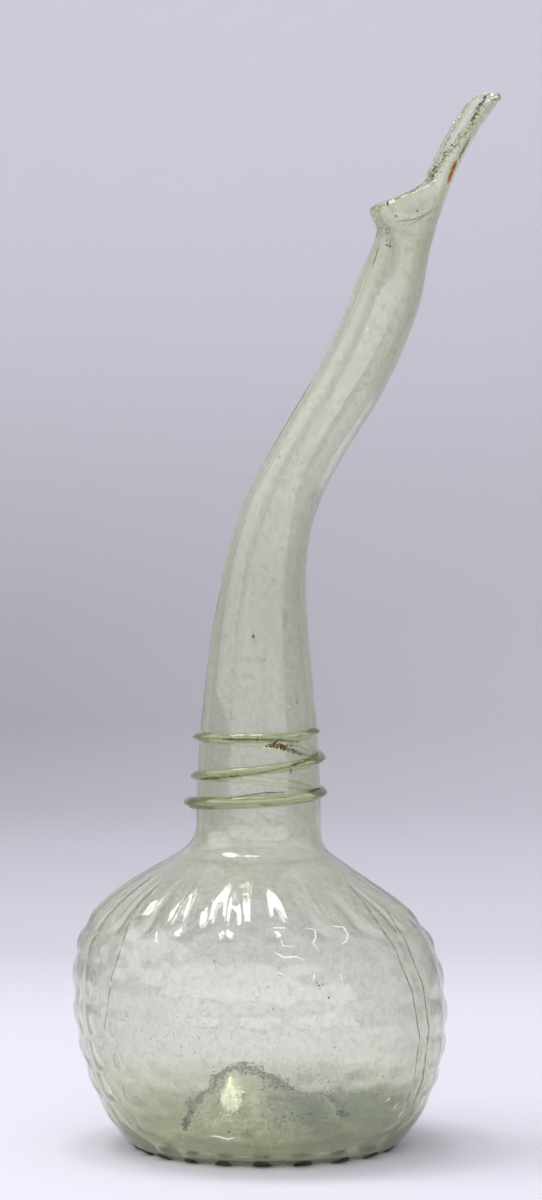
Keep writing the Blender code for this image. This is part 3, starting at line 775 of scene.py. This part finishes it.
def inner_rings():
    """The inside, from the rim down the bore to the floor over the kick."""
    rings = [mouth_ring(1 - t, NECK_SIDES, RIM_WALL) for t in spread(INNER_MOUTH_RINGS)[:-1]]
    for t in spread(INNER_NECK_RINGS)[:-1]:
        inset = mix(NECK_WALL, RIM_WALL, smooth(0.9, 1.0, 1 - t))
        rings.append(neck_ring(1 - t, NECK_SIDES, inset, wave=BORE_WAVE, seed=7))
    for t in spread(COLLAR_RINGS)[:-1]:
        rings.append(outline_ring(COLLAR, 1 - t, NECK_SIDES, inset=NECK_WALL, wave=BORE_WAVE, seed=9))
    for t in spread(INNER_SHOULDER_RINGS)[:-1]:
        inset = mix(NECK_WALL, BODY_WALL, smooth(0.0, 0.3, t))
        rings.append(outline_ring(SHOULDER, 1 - t, BODY_SIDES, 1.0, inset, BODY_WAVE, 9))
    rings += [heel_ring(1 - t, BODY_SIDES) for t in spread(HEEL_RINGS)[:-1]]
    rings += [kick_ring(GUTTER, 1 - t, BODY_SIDES, 0.0) for t in spread(GUTTER_RINGS)[:-1]]
    rings += inner_kick_rings(BODY_SIDES, INNER_KICK_RINGS)
    return rings


def make_vessel():
    bm = bmesh.new()
    rings = outer_rings() + rim_rings(NECK_SIDES, RIM_STEPS) + inner_rings()
    vertices = [[bm.verts.new(inside_box(point)) for point in ring] for ring in rings]
    skin(bm, vertices)
    close_ring(bm, vertices[0])
    close_ring(bm, vertices[-1])
    return to_object(bm, "glass_vessel")


def film_cover(step, part_of_turn):
    """How deep the painted shade on the film is, off the kick and towards the right, and how fully it
    covers the glass.
    """
    off_kick = 1 - smooth(0.3, 1.2, (step - FILM_EDGE_RINGS) / FILM_GUTTER_RINGS)
    angle = turn_angle(part_of_turn)
    front = smooth(0.1, 0.8, math.cos(angle))
    right = smooth(0.0, 0.7, math.sin(angle))
    cover = min(1.0, mix(1.0, 1.5, right) * step / FILM_EDGE_RINGS)
    return off_kick * mix(0.25, 1.0, right), cover * (1 - 0.9 * off_kick * front)


def make_floor_film():
    """A thin closed layer on the inside of the floor, from the wall over the gutter to the kick."""
    rings = [heel_ring(FILM_EDGE * (1 - t), FILM_SIDES) for t in spread(FILM_EDGE_RINGS)[:-1]]
    rings += [kick_ring(GUTTER, 1 - t, FILM_SIDES, 0.0) for t in spread(FILM_GUTTER_RINGS)[:-1]]
    rings += inner_kick_rings(FILM_SIDES, FILM_KICK_RINGS)
    bm = bmesh.new()
    edge_map = bm.loops.layers.uv.new("edge")
    low, high, covers = [], [], {}
    for step, ring in enumerate(rings):
        before, after = rings[max(step - 1, 0)], rings[min(step + 1, len(rings) - 1)]
        low.append([])
        high.append([])
        for i, point in enumerate(ring):
            along = ring[(i + 1) % FILM_SIDES] - ring[i - 1]
            normal = along.cross(after[i] - before[i]).normalized()
            lumps = waviness(point, 1.6 * MM, 2) + 0.5 * waviness(point, 0.7 * MM, 6)
            thickness = (0.05 + 0.12 * lumps) * MM * smooth(-4, FILM_EDGE_RINGS, step)
            low[-1].append(bm.verts.new(point + normal * FILM_LIFT))
            high[-1].append(bm.verts.new(point + normal * (FILM_LEAST + thickness)))
            covers[low[-1][-1]] = covers[high[-1][-1]] = film_cover(step, i / FILM_SIDES)
    for side in (low, high):
        skin(bm, side)
        close_ring(bm, side[-1])
    join_rings(bm, low[0], high[0])
    set_map(bm, edge_map, covers, (0.0, 1.0))
    film = to_object(bm, "floor_film")
    film.data.materials.append(film_colour())
    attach(film, "root")
    return film.data


def thread_height(turns):
    """The thread's height above the foot of the neck, smooth through its half turns."""
    half_turns = min(turns * 2, len(THREAD_CLIMBS) - 1e-6)
    whole = int(half_turns)
    part_climb = THREAD_CLIMBS[whole] * (half_turns - whole)
    return THREAD_START_HEIGHT + sum(THREAD_CLIMBS[:whole]) + part_climb


def thread_path():
    """Points and radii of the thread, from the blob where it starts to its thin end."""
    turns = len(THREAD_CLIMBS) / 2 - THREAD_SHORT_OF_END
    steps = round(turns * THREAD_STEPS_PER_TURN)
    path = []
    for step in range(steps + 1):
        at = turns * step / steps
        height = sum(thread_height(at + shift) for shift in (-0.04, 0.0, 0.04)) / 3
        share = height / NECK_HEIGHT
        middle, along = neck_frame(share)
        blob = 1 - smooth(0.05, 0.5, at)
        radius = mix(THREAD_RADIUS, BLOB_RADIUS, blob)
        radius *= mix(1.0, 0.9, smooth(turns - 0.2, turns, at))
        radius *= mix(0.9, 1.03, waviness((9 * at, 0, 0), 1.0, 4))
        out = neck_radius(share) + mix(THREAD_STAND_OFF, BLOB_RADIUS, 1 - smooth(0.0, 0.12, at))
        point = section_point(middle, along, out, 2 * math.pi * at - 0.52 * math.pi)
        point.z += THREAD_FLICK * smooth(turns - 0.1, turns, at)
        path.append((point, radius))
    return path


def make_thread():
    """The wound thread with its rounded ends, squarer in section after the blob at its start."""
    path = thread_path()
    bm = bmesh.new()
    rings = []
    for i, (point, radius) in enumerate(path):
        along = direction_at(path, i)
        side = along.cross(Vector((0, 0, 1))).normalized()
        up = side.cross(along)
        if i == 0:
            cuts = [(-end, math.sqrt(1 - end * end)) for end in reversed(THREAD_END_CUTS)]
        elif i == len(path) - 1:
            cuts = [(end, math.sqrt(1 - end * end)) for end in THREAD_END_CUTS]
        else:
            cuts = [(0.0, 1.0)]
        squareness = -THREAD_SQUARENESS * min(1.0, i / BLOB_STEPS)
        for forward, share in cuts:
            ring = []
            for angle in turn_through(THREAD_SIDES):
                offset = side * math.cos(angle) + up * math.sin(angle)
                slant = angle - math.pi / 4
                fullness = (math.cos(slant) ** 4 + math.sin(slant) ** 4) ** squareness
                out = radius * share * fullness
                ring.append(bm.verts.new(point + along * (forward * radius) + offset * out))
            rings.append(ring)
    close_tube(bm, rings)
    return to_object(bm, "thread_guide")


def fuse(item, guide):
    """Melts the guide into the item, marks where it runs on it and deletes the guide."""
    union = item.modifiers.new("fused_thread", "BOOLEAN")
    union.operation = "UNION"
    union.solver = "MANIFOLD"
    union.object = guide
    bpy.context.view_layer.update()
    melted = item.evaluated_get(bpy.context.evaluated_depsgraph_get())
    fused = bpy.data.meshes.new_from_object(melted)
    item.modifiers.clear()
    item.data = fused
    bpy.data.objects.remove(guide)
    fused.shade_smooth()
    fused.set_sharp_from_angle(angle=math.radians(50))
    mark = fused.attributes.new("thread", "FLOAT", "POINT")
    for i, vertex in enumerate(fused.vertices):
        share = (vertex.co.z - NECK_START) / NECK_HEIGHT
        if 0 < share < 0.25:
            out = math.hypot(vertex.co.x - AXIS_X, vertex.co.y) - neck_radius(share)
            mark.data[i].value = smooth(0.0, 0.5 * MM, out)


def nodes_of(name):
    """A new material, its node tree and its shader."""
    material = bpy.data.materials.new(name)
    material.use_nodes = True
    tree = material.node_tree
    return material, tree, tree.nodes["Principled BSDF"]


def add_node(tree, kind, inputs, operation=None):
    """A new node, with each input set to a value or linked to another node's output."""
    node = tree.nodes.new(kind)
    if operation:
        node.operation = operation
    for name, value in inputs.items():
        if isinstance(value, bpy.types.NodeSocket):
            tree.links.new(value, node.inputs[name])
        else:
            node.inputs[name].default_value = value
    return node


def ramp_of(tree, factor, stops):
    """The colour at a factor between stops, which are pairs of a place and a colour."""
    node = add_node(tree, "ShaderNodeValToRGB", {"Fac": factor})
    elements = node.color_ramp.elements
    while len(elements) < len(stops):
        elements.new(0.5)
    for element, (place, _) in zip(elements, stops):
        element.position = place
    for element, (_, colour) in zip(elements, stops):
        element.color = (*colour, 1.0)
    return node.outputs["Color"]


def mix_colours(tree, blend, first, second, factor=None):
    node = tree.nodes.new("ShaderNodeMix")
    node.data_type = "RGBA"
    node.blend_type = blend
    node.inputs["Factor"].default_value = 1.0
    if factor:
        tree.links.new(factor, node.inputs["Factor"])
    tree.links.new(first, node.inputs["A"])
    tree.links.new(second, node.inputs["B"])
    return node.outputs["Result"]


def noise_of(tree, place, scale, detail, roughness=0.5):
    inputs = {"Vector": place, "Scale": scale, "Detail": detail, "Roughness": roughness}
    return add_node(tree, "ShaderNodeTexNoise", inputs).outputs["Fac"]


def range_of(tree, value, before, after):
    """A value, moved from one range to another and kept inside it."""
    ends = {"From Min": before[0], "From Max": before[1], "To Min": after[0], "To Max": after[1]}
    return add_node(tree, "ShaderNodeMapRange", {"Value": value, **ends}).outputs["Result"]


def bump_of(tree, height, strength, distance):
    inputs = {"Strength": strength, "Distance": distance, "Height": height}
    return add_node(tree, "ShaderNodeBump", inputs).outputs["Normal"]


def film_colour():
    """A mottled grey-green layer of weathering with painted shade off the kick and on the right, which
    thins out towards its edge.
    """
    material, tree, shader = nodes_of("floor_film")
    shader.inputs["Roughness"].default_value = 0.4
    coordinates = tree.nodes.new("ShaderNodeTexCoord")
    place = coordinates.outputs["Object"]
    edge = add_node(tree, "ShaderNodeSeparateXYZ", {"Vector": coordinates.outputs["UV"]})
    away = add_node(tree, "ShaderNodeVectorMath", {0: place, 1: RIGHT_SHADE_PLACE}, "DISTANCE")
    reach = add_node(tree, "ShaderNodeMath", {0: away.outputs["Value"], 1: RIGHT_SHADE_REACH}, "DIVIDE")
    colour = ramp_of(tree, noise_of(tree, place, 130.0, 9.0, 0.68), FILM_TINTS)
    # Painted shade: darker off the kick and towards the right, and darkest round a place right of the
    # kick
    for factor, stops in ((edge.outputs["X"], FILM_SHADE_TINTS), (reach.outputs["Value"], RIGHT_SHADE_TINTS)):
        colour = mix_colours(tree, "MULTIPLY", colour, ramp_of(tree, factor, stops))
    tree.links.new(colour, shader.inputs["Base Color"])
    raggedness = {0: noise_of(tree, place, 260.0, 6.0, 0.6), 1: 0.4, 2: edge.outputs["Y"]}
    ragged = add_node(tree, "ShaderNodeMath", raggedness, "MULTIPLY_ADD").outputs["Value"]
    cover = ramp_of(tree, ragged, [(share, (part, part, part)) for share, part in FILM_COVER])
    tree.links.new(cover, shader.inputs["Alpha"])
    crust = bump_of(tree, noise_of(tree, place, 700.0, 5.0), 0.6, 0.5 * MM)
    tree.links.new(crust, shader.inputs["Normal"])
    return material


def glass():
    """Clear glass. Its tint goes by height, deepens in the thread and is mottled; painted shade darkens
    it at a slant, partly as its film seen edge-on.
    """
    material, tree, shader = nodes_of("pale_green_glass")
    shader.inputs["Transmission Weight"].default_value = TRANSMISSION
    shader.inputs["IOR"].default_value = REFRACTION
    place = tree.nodes.new("ShaderNodeTexCoord").outputs["Object"]
    height = add_node(tree, "ShaderNodeSeparateXYZ", {"Vector": place}).outputs["Z"]
    level = add_node(tree, "ShaderNodeMath", {0: height, 1: TINT_REACH}, "DIVIDE").outputs["Value"]
    mottled = add_node(tree, "ShaderNodeMapping", {"Vector": place, "Scale": MOTTLE_STRETCH})
    mottle = noise_of(tree, mottled.outputs["Vector"], 420.0, 8.0, 0.72)
    thread = tree.nodes.new("ShaderNodeAttribute")
    thread.attribute_name = "thread"
    # Painted shade, by how far the surface faces away
    slant = tree.nodes.new("ShaderNodeLayerWeight").outputs["Facing"]
    tint = ramp_of(tree, level, [(up * MM / TINT_REACH, colour) for up, colour in TINTS])
    layers = ((mottle, MOTTLES), (thread.outputs["Fac"], THREAD_TINTS), (slant, SLANT_SHADE_TINTS))
    for factor, stops in layers:
        tint = mix_colours(tree, "MULTIPLY", tint, ramp_of(tree, factor, stops))
    tree.links.new(tint, shader.inputs["Base Color"])
    haze = range_of(tree, noise_of(tree, place, 60.0, 5.0), (0.45, 0.75), GLASS_ROUGHNESS)
    tree.links.new(haze, shader.inputs["Roughness"])
    ripple = bump_of(tree, noise_of(tree, place, 220.0, 3.0), 0.12, 0.4 * MM)
    tree.links.new(ripple, shader.inputs["Normal"])
    absorbed = {"Color": (*ABSORPTION_COLOUR, 1.0), "Density": ABSORPTION_DENSITY}
    volume = add_node(tree, "ShaderNodeVolumeAbsorption", absorbed).outputs["Volume"]
    tree.links.new(volume, tree.nodes["Material Output"].inputs["Volume"])
    return material


def paper():
    """Pale lavender paper with a fine grain and painted light and shade, clear from behind so that it
    hides nothing there.
    """
    material, tree, shader = nodes_of("lavender_paper")
    shader.inputs["Roughness"].default_value = 0.9
    shader.inputs["Specular IOR Level"].default_value = 0.1
    coordinates = tree.nodes.new("ShaderNodeTexCoord").outputs
    fibre = range_of(tree, noise_of(tree, coordinates["Object"], 900.0, 4.0), (0.0, 1.0), (0.97, 1.03))
    run = add_node(tree, "ShaderNodeSeparateXYZ", {"Vector": coordinates["UV"]}).outputs
    # The lightness stops paint light and shade on the paper: darker part-way up the sweep, lighter on
    # the right
    places = [(stop[0] - SWEEP_START) / SWEEP_LENGTH for stop in PAPER_PAINTED_SHADE]
    painted_shades = []
    for side in (1, 2):
        colours = [[stop[side] * part for part in PAPER_COLOUR] for stop in PAPER_PAINTED_SHADE]
        painted_shades.append(ramp_of(tree, run["Y"], list(zip(places, colours))))
    blend = PAPER_BLEND_REACH / (2 * SWEEP_HALF_WIDTH)
    aside = range_of(tree, run["X"], (0.5 - blend, 0.5 + blend), (0.0, 1.0))
    painted_shade = mix_colours(tree, "MIX", *painted_shades, aside)
    tree.links.new(mix_colours(tree, "MULTIPLY", painted_shade, fibre), shader.inputs["Base Color"])
    behind = tree.nodes.new("ShaderNodeNewGeometry").outputs["Backfacing"]
    shown = add_node(tree, "ShaderNodeMath", {0: 1.0, 1: behind}, "SUBTRACT").outputs["Value"]
    tree.links.new(shown, shader.inputs["Alpha"])
    return material


def make_sweep():
    """The paper that runs from the table up behind the bottle in one curve."""
    line = [(run, run, 0.0) for run in (SWEEP_START, -0.2, 0.0, 0.25, SWEEP_FLAT_END)]
    for step in range(1, SWEEP_STEPS + 1):
        angle = 0.5 * math.pi * step / SWEEP_STEPS
        y = SWEEP_FLAT_END + SWEEP_RADIUS * math.sin(angle)
        z = SWEEP_RADIUS * (1 - math.cos(angle))
        line.append((SWEEP_FLAT_END + SWEEP_RADIUS * angle, y, z))
    rise = SWEEP_START + SWEEP_LENGTH - line[-1][0]
    line.append((SWEEP_START + SWEEP_LENGTH, line[-1][1], line[-1][2] + rise))
    bm = bmesh.new()
    run_map = bm.loops.layers.uv.new("run")
    rows, places = [], {}
    for run, y, z in line:
        rows.append([])
        for share in spread(SWEEP_COLUMNS):
            rows[-1].append(bm.verts.new((SWEEP_HALF_WIDTH * (2 * share - 1), y, z)))
            places[rows[-1][-1]] = (share, (run - SWEEP_START) / SWEEP_LENGTH)
    for first, second in zip(rows, rows[1:]):
        for i in range(SWEEP_COLUMNS):
            bm.faces.new((first[i], first[i + 1], second[i + 1], second[i]))
    set_map(bm, run_map, places)
    sweep = to_object(bm, "paper_sweep")
    if sweep.data.polygons[0].normal.z < 0:
        sweep.data.flip_normals()
    sweep.data.materials.append(paper())


def add_light(name, place, target, width, height, power):
    data = bpy.data.lights.new(name, "AREA")
    data.shape = "RECTANGLE"
    data.size, data.size_y = width, height
    data.energy = power
    light = bpy.data.objects.new(name, data)
    bpy.context.collection.objects.link(light)
    light.location = place
    light.rotation_euler = (Vector(target) - Vector(place)).to_track_quat("-Z", "Y").to_euler()


def make_studio():
    """The paper, the lamps over it, on its left and in front, and the room's own light."""
    make_sweep()
    add_light("overhead_left", (-0.39, 0.08, 1.15), (-0.39, 0.08, 0.0), 0.26, 0.28, 2.1)
    add_light("overhead_right", (-0.05, 0.08, 1.15), (-0.05, 0.08, 0.0), 0.20, 0.28, 1.65)
    add_light("front_wall", (0.0, -1.28, 0.35), (0.0, 0.0, 0.35), 3.7, 0.68, 5.0)
    add_light("front_wall_edges", (0.0, -1.29, 0.35), (0.0, 0.0, 0.35), 4.3, 0.68, 5.6)
    add_light("left_box", (-1.5, -0.2, 0.9), (0.0, 0.0, 0.1), 1.4, 1.3, 6.8)
    world = bpy.data.worlds.new("studio")
    world.use_nodes = True
    tree = world.node_tree
    background = tree.nodes["Background"]
    background.inputs["Color"].default_value = (0.97, 0.97, 1.0, 1.0)
    way = tree.nodes.new("ShaderNodeTexCoord").outputs["Generated"]
    up = add_node(tree, "ShaderNodeSeparateXYZ", {"Vector": way}).outputs["Z"]
    glow = range_of(tree, up, (0.1, 0.8), (0.45, 0.67))
    tree.links.new(glow, background.inputs["Strength"])
    bpy.context.scene.world = world


def make_camera():
    data = bpy.data.cameras.new("photo_camera")
    data.sensor_fit = "VERTICAL"
    data.angle = 2 * math.atan(HALF_HEIGHT / FOCAL_LENGTH)
    camera = bpy.data.objects.new("photo_camera", data)
    bpy.context.collection.objects.link(camera)
    camera.location = EYE
    camera.rotation_euler = (math.radians(90 - TILT), 0, 0)
    bpy.context.scene.camera = camera


def make_bottle():
    """The vessel with the thread melted on, in place of all the solids."""
    vessel = make_vessel()
    fuse(vessel, make_thread())
    vessel.data.materials.clear()
    vessel.data.materials.append(glass())
    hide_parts(*[item.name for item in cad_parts.values()])
    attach(vessel, "root")
    return vessel


def tree_of(mesh):
    """The mesh's faces, sorted for finding where a line of sight meets them."""
    places = [vertex.co for vertex in mesh.vertices]
    return BVHTree.FromPolygons(places, [face.vertices for face in mesh.polygons])


def lay(tree, across, up):
    """Where a mark seen at a place in millimetres lies, and which way the surface faces there."""
    target = Vector((AXIS_X + across * MM, 0.0, up * MM))
    place, normal, _, _ = tree.ray_cast(EYE, (target - EYE).normalized())
    return place, normal


def close_crumb(bm, rim, top, bottom):
    """Faces from a ragged rim to a point over it and a point under it."""
    over = bm.verts.new(top)
    under = bm.verts.new(bottom)
    for first, second in zip(rim, rim[1:] + rim[:1]):
        bm.faces.new((first, second, over))
        bm.faces.new((second, first, under))


def add_crumb(bm, place, normal, length, width, height):
    """A closed crumb with a ragged edge that sits on the surface."""
    lead = Vector([random.uniform(-1, 1) for _ in range(3)])
    lead -= normal * lead.dot(normal)
    lead.normalize()
    side = normal.cross(lead)
    rim = []
    for angle in turn_through(CRUMB_SIDES):
        reach = random.uniform(0.65, 1.1)
        offset = lead * (length * math.cos(angle)) + side * (width * math.sin(angle))
        rim.append(bm.verts.new(place + offset * reach + normal * (0.15 * height)))
    close_crumb(bm, rim, place + normal * height, place - normal * (0.5 * height))


def add_line(bm, tree, half_width, stops):
    """A closed ragged line that follows the surface through the stops and tapers at its ends."""
    spots = []
    for (x0, z0), (x1, z1) in zip(stops, stops[1:]):
        steps = max(2, round(math.hypot(x1 - x0, z1 - z0) / LINE_STEP))
        spots += [lay(tree, mix(x0, x1, t), mix(z0, z1, t)) for t in spread(steps)[:-1]]
    spots.append(lay(tree, *stops[-1]))
    spots = [spot for spot in spots if spot[0]]
    rings = []
    for i, (place, normal) in enumerate(spots):
        side = direction_at(spots, i).cross(normal).normalized()
        fill = math.sqrt(max(0.02, 1 - abs(2 * i / (len(spots) - 1) - 1) ** 3))
        width = half_width * MM * fill * random.uniform(0.75, 1.2)
        height = 0.5 * width
        ring = []
        for angle in turn_through(LINE_SIDES):
            edge = place + side * (width * math.cos(angle))
            ring.append(bm.verts.new(edge + normal * (height * math.sin(angle))))
        rings.append(ring)
    close_tube(bm, rings)


def add_grain(bm, place, normal, low, high, height):
    """A crumb of a size from low to high in millimetres, with its height beside that size."""
    size = random.uniform(low, high) * MM
    add_crumb(bm, place, normal, size, size * random.uniform(0.5, 1.0), height * size)


def scatter(bm, tree, count, middle, spread_x, spread_z, low, high, height=0.35):
    """Grains round a place, where the line of sight meets the surface."""
    for _ in range(count):
        across = random.gauss(middle[0], spread_x)
        place, normal = lay(tree, across, random.gauss(middle[1], spread_z))
        if place:
            add_grain(bm, place, normal, low, high, height)


def add_contact_shadow(bm, part_of_turn):
    """A painted dark contact shadow under a lobe, where it stands on the ground."""
    contact = 0.115

    def spot(share, part, lift):
        place, along = bezier(HEEL, share)
        angle = turn_angle(part)
        turn = Vector((math.sin(angle), -math.cos(angle)))
        radius = place.x + along.y * lift
        height = max(0.02 * MM, place.y - along.x * lift)
        return Vector((AXIS_X + axis_shift(place.y) + radius * turn.x, radius * turn.y, height))

    rim = []
    long, wide = random.uniform(0.0105, 0.0135), random.uniform(0.07, 0.1)
    for angle in turn_through(CONTACT_SHADOW_SIDES):
        reach = random.uniform(0.85, 1.1)
        part = part_of_turn + long * reach * math.cos(angle)
        rim.append(bm.verts.new(spot(contact + wide * reach * math.sin(angle), part, 0.05 * MM)))
    top = spot(contact, part_of_turn, 0.15 * MM)
    close_crumb(bm, rim, top, spot(contact, part_of_turn, -0.15 * MM))


def mark_material(name):
    """The material of a piece of marks, in which fine noise mixes the piece's colours."""
    scale, roughness, metallic, *colours = MARK_LOOKS[name]
    material, tree, shader = nodes_of(name)
    shader.inputs["Roughness"].default_value = roughness
    shader.inputs["Metallic"].default_value = metallic
    mottle = noise_of(tree, tree.nodes.new("ShaderNodeTexCoord").outputs["Object"], scale, 5.0)
    places = [mix(0.32, 0.68, share) for share in spread(len(colours) - 1)]
    tree.links.new(ramp_of(tree, mottle, list(zip(places, colours))), shader.inputs["Base Color"])
    tree.links.new(bump_of(tree, mottle, 0.5, 0.2 * MM), shader.inputs["Normal"])
    return material


def finish_marks(bm, name):
    """Makes one piece of the marks, kept to the solid's bounds and in the material of its name."""
    for vertex in bm.verts:
        vertex.co = inside_box(vertex.co)
    marks = to_object(bm, name)
    marks.data.materials.append(mark_material(name))
    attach(marks, "root")
    return marks.data


def add_trail(bm, tree, half_width, stops, count, low, high):
    """Crumbs strewn along a line, so many for each millimetre of it."""
    for (x0, z0), (x1, z1) in zip(stops, stops[1:]):
        for _ in range(round(count * math.hypot(x1 - x0, z1 - z0))):
            t = random.random()
            middle = (mix(x0, x1, t), mix(z0, z1, t))
            scatter(bm, tree, 1, middle, half_width, half_width, low, high)


def make_residue(tree):
    """Golden-brown dirt along the thread and in the channel of the tongue, and its amber flake."""
    bm = bmesh.new()
    add_line(bm, tree, *AMBER_FLAKE)
    finish_marks(bm, "amber_flake")
    bm = bmesh.new()
    for half_width, stops in BROWN_LINES:
        add_line(bm, tree, BROWN_CORE * half_width, stops)
        sizes = (0.35 * half_width, 0.95 * half_width)
        add_trail(bm, tree, BROWN_TRAIL * half_width, stops, BROWN_CRUMBS_PER_MM, *sizes)
    scatter(bm, tree, *BROWN_GRAINS)
    for place in RED_SPECKS:
        scatter(bm, tree, 3, place, 0.08, 0.08, 0.35, 0.5)
    finish_marks(bm, "brown_residue")


def make_tongue_crust(tree):
    """Grey-green weathering along both rims of the tongue, on the lip and down the throat."""
    bm = bmesh.new()
    for trail in CRUST_TRAILS:
        add_trail(bm, tree, *trail)
    finish_marks(bm, "tongue_crust")


def outer_faces(mesh):
    """The faces that look away from the upright axis of the neck's foot."""

    def looks_out(face):
        return face.normal.dot(face.center - Vector((AXIS_X, 0, face.center.z))) > 0

    return [face for face in mesh.polygons if looks_out(face)]


def make_specks(tree, mesh):
    """Dark specks and small cracks, at their places in front and scattered elsewhere, and dark lines of
    painted shade down the globe's grooves.
    """
    bm = bmesh.new()
    for place in DARK_SPECKS:
        scatter(bm, tree, 2, place, 0.05, 0.05, 0.24, 0.38)
    for core, lines in ((CRACK_CORE, CRACKS), (GROOVE_SHADE_CORE, GROOVE_SHADE_LINES)):
        for half_width, stops in lines:
            add_line(bm, tree, core * half_width, stops)
    for face in random.sample(outer_faces(mesh), STRAY_SPECKS):
        add_grain(bm, face.center, face.normal, 0.07, 0.2, 0.3)
    finish_marks(bm, "dark_specks_and_groove_shade")


def make_painted_highlights(tree, kick_tree):
    """Painted highlights: white lines along the edges of the bosses, and bright grains as painted glints
    on tongue and kick.
    """
    bm = bmesh.new()
    for half_width, stops in HIGHLIGHT_LINES:
        add_line(bm, tree, HIGHLIGHT_CORE * half_width, stops)
    for place in GLINT_DOTS:
        scatter(bm, tree, 1, place, 0.02, 0.02, 0.42, 0.58, 1.0)
    for grains in GLINT_GRAINS:
        scatter(bm, tree, *grains)
    scatter(bm, kick_tree, *KICK_GLINT_GRAINS)
    finish_marks(bm, "painted_highlights")


def make_crust_and_shade(kick_tree):
    """Dark clumps of weathering on the floor over the kick, and a crowd of them on its right as painted
    shade.
    """
    bm = bmesh.new()
    for (x0, z0), (x1, z1) in zip(KICK_OUTLINE, KICK_OUTLINE[1:]):
        for _ in range(round(OUTLINE_CRUMBS_PER_MM * math.hypot(x1 - x0, z1 - z0))):
            t = random.random()
            place = (mix(x0, x1, t), mix(z0, z1, t) - abs(random.gauss(0.0, 1.0)))
            scatter(bm, kick_tree, 1, place, 0.3, 0.3, 0.2, 0.65)
    for clumps in KICK_CLUMPS:
        scatter(bm, kick_tree, *clumps)
    finish_marks(bm, "kick_crust_and_shade")


def make_iridescence(kick_tree):
    """The pearly film on the kick's front, with flakes that lie so that they catch the light."""
    bm = bmesh.new()
    for crumbs in PEARLY_CRUMBS:
        scatter(bm, kick_tree, *crumbs)
    for _ in range(PEARLY_FLAKES):
        place, normal = lay(kick_tree, random.gauss(*PEARLY_ACROSS), random.gauss(*PEARLY_UP))
        if place:
            lean = PEARLY_LEAN + Vector([random.gauss(0.0, 0.13) for _ in range(3)])
            size = random.uniform(0.2, 0.45) * MM
            lifted = place + 0.1 * MM * normal
            add_crumb(bm, lifted, lean.normalized(), size, 0.8 * size, 0.06 * size)
    finish_marks(bm, "pearly_film").shade_flat()


# Painted contact shadows, one under each lobe of the foot
def make_contact_shadows():
    bm = bmesh.new()
    for i in range(LOBES):
        add_contact_shadow(bm, (i + 0.5) / LOBES)
    finish_marks(bm, "painted_contact_shadow")


def make_bloom(tree, mesh):
    """Fine olive and pale grains all over the outside, thickest on the globe and along the painted shade
    lines in its grooves.
    """
    bm = bmesh.new()
    for half_width, stops in GROOVE_SHADE_LINES:
        add_trail(bm, tree, GROOVE_SHADE_TRAIL * half_width, stops, GROOVE_SHADE_CRUMBS_PER_MM, 0.1, 0.26)
    faces = outer_faces(mesh)
    weights = [face.area * mix(1.0, 0.3, smooth(80 * MM, 110 * MM, face.center.z)) for face in faces]
    for face in random.choices(faces, weights, k=BLOOM_GRAINS):
        aside = Vector([random.uniform(-0.5, 0.5) * MM for _ in range(3)])
        aside -= face.normal * aside.dot(face.normal)
        add_grain(bm, face.center + aside, face.normal, 0.07, 0.26, 0.25)
    finish_marks(bm, "fine_bloom_and_groove_shade")


def make_marks(mesh, film):
    tree, kick_tree = tree_of(mesh), tree_of(film)
    make_residue(tree)
    make_tongue_crust(tree)
    make_specks(tree, mesh)
    make_painted_highlights(tree, kick_tree)
    make_crust_and_shade(kick_tree)
    make_iridescence(kick_tree)
    make_contact_shadows()
    make_bloom(tree, mesh)


random.seed(7)
make_studio()
make_camera()
make_marks(make_bottle().data, make_floor_film())

scene = bpy.context.scene
scene.view_settings.view_transform = "Standard"
scene.cycles.max_bounces = 24
scene.cycles.transmission_bounces = 20
scene.cycles.glossy_bounces = 8
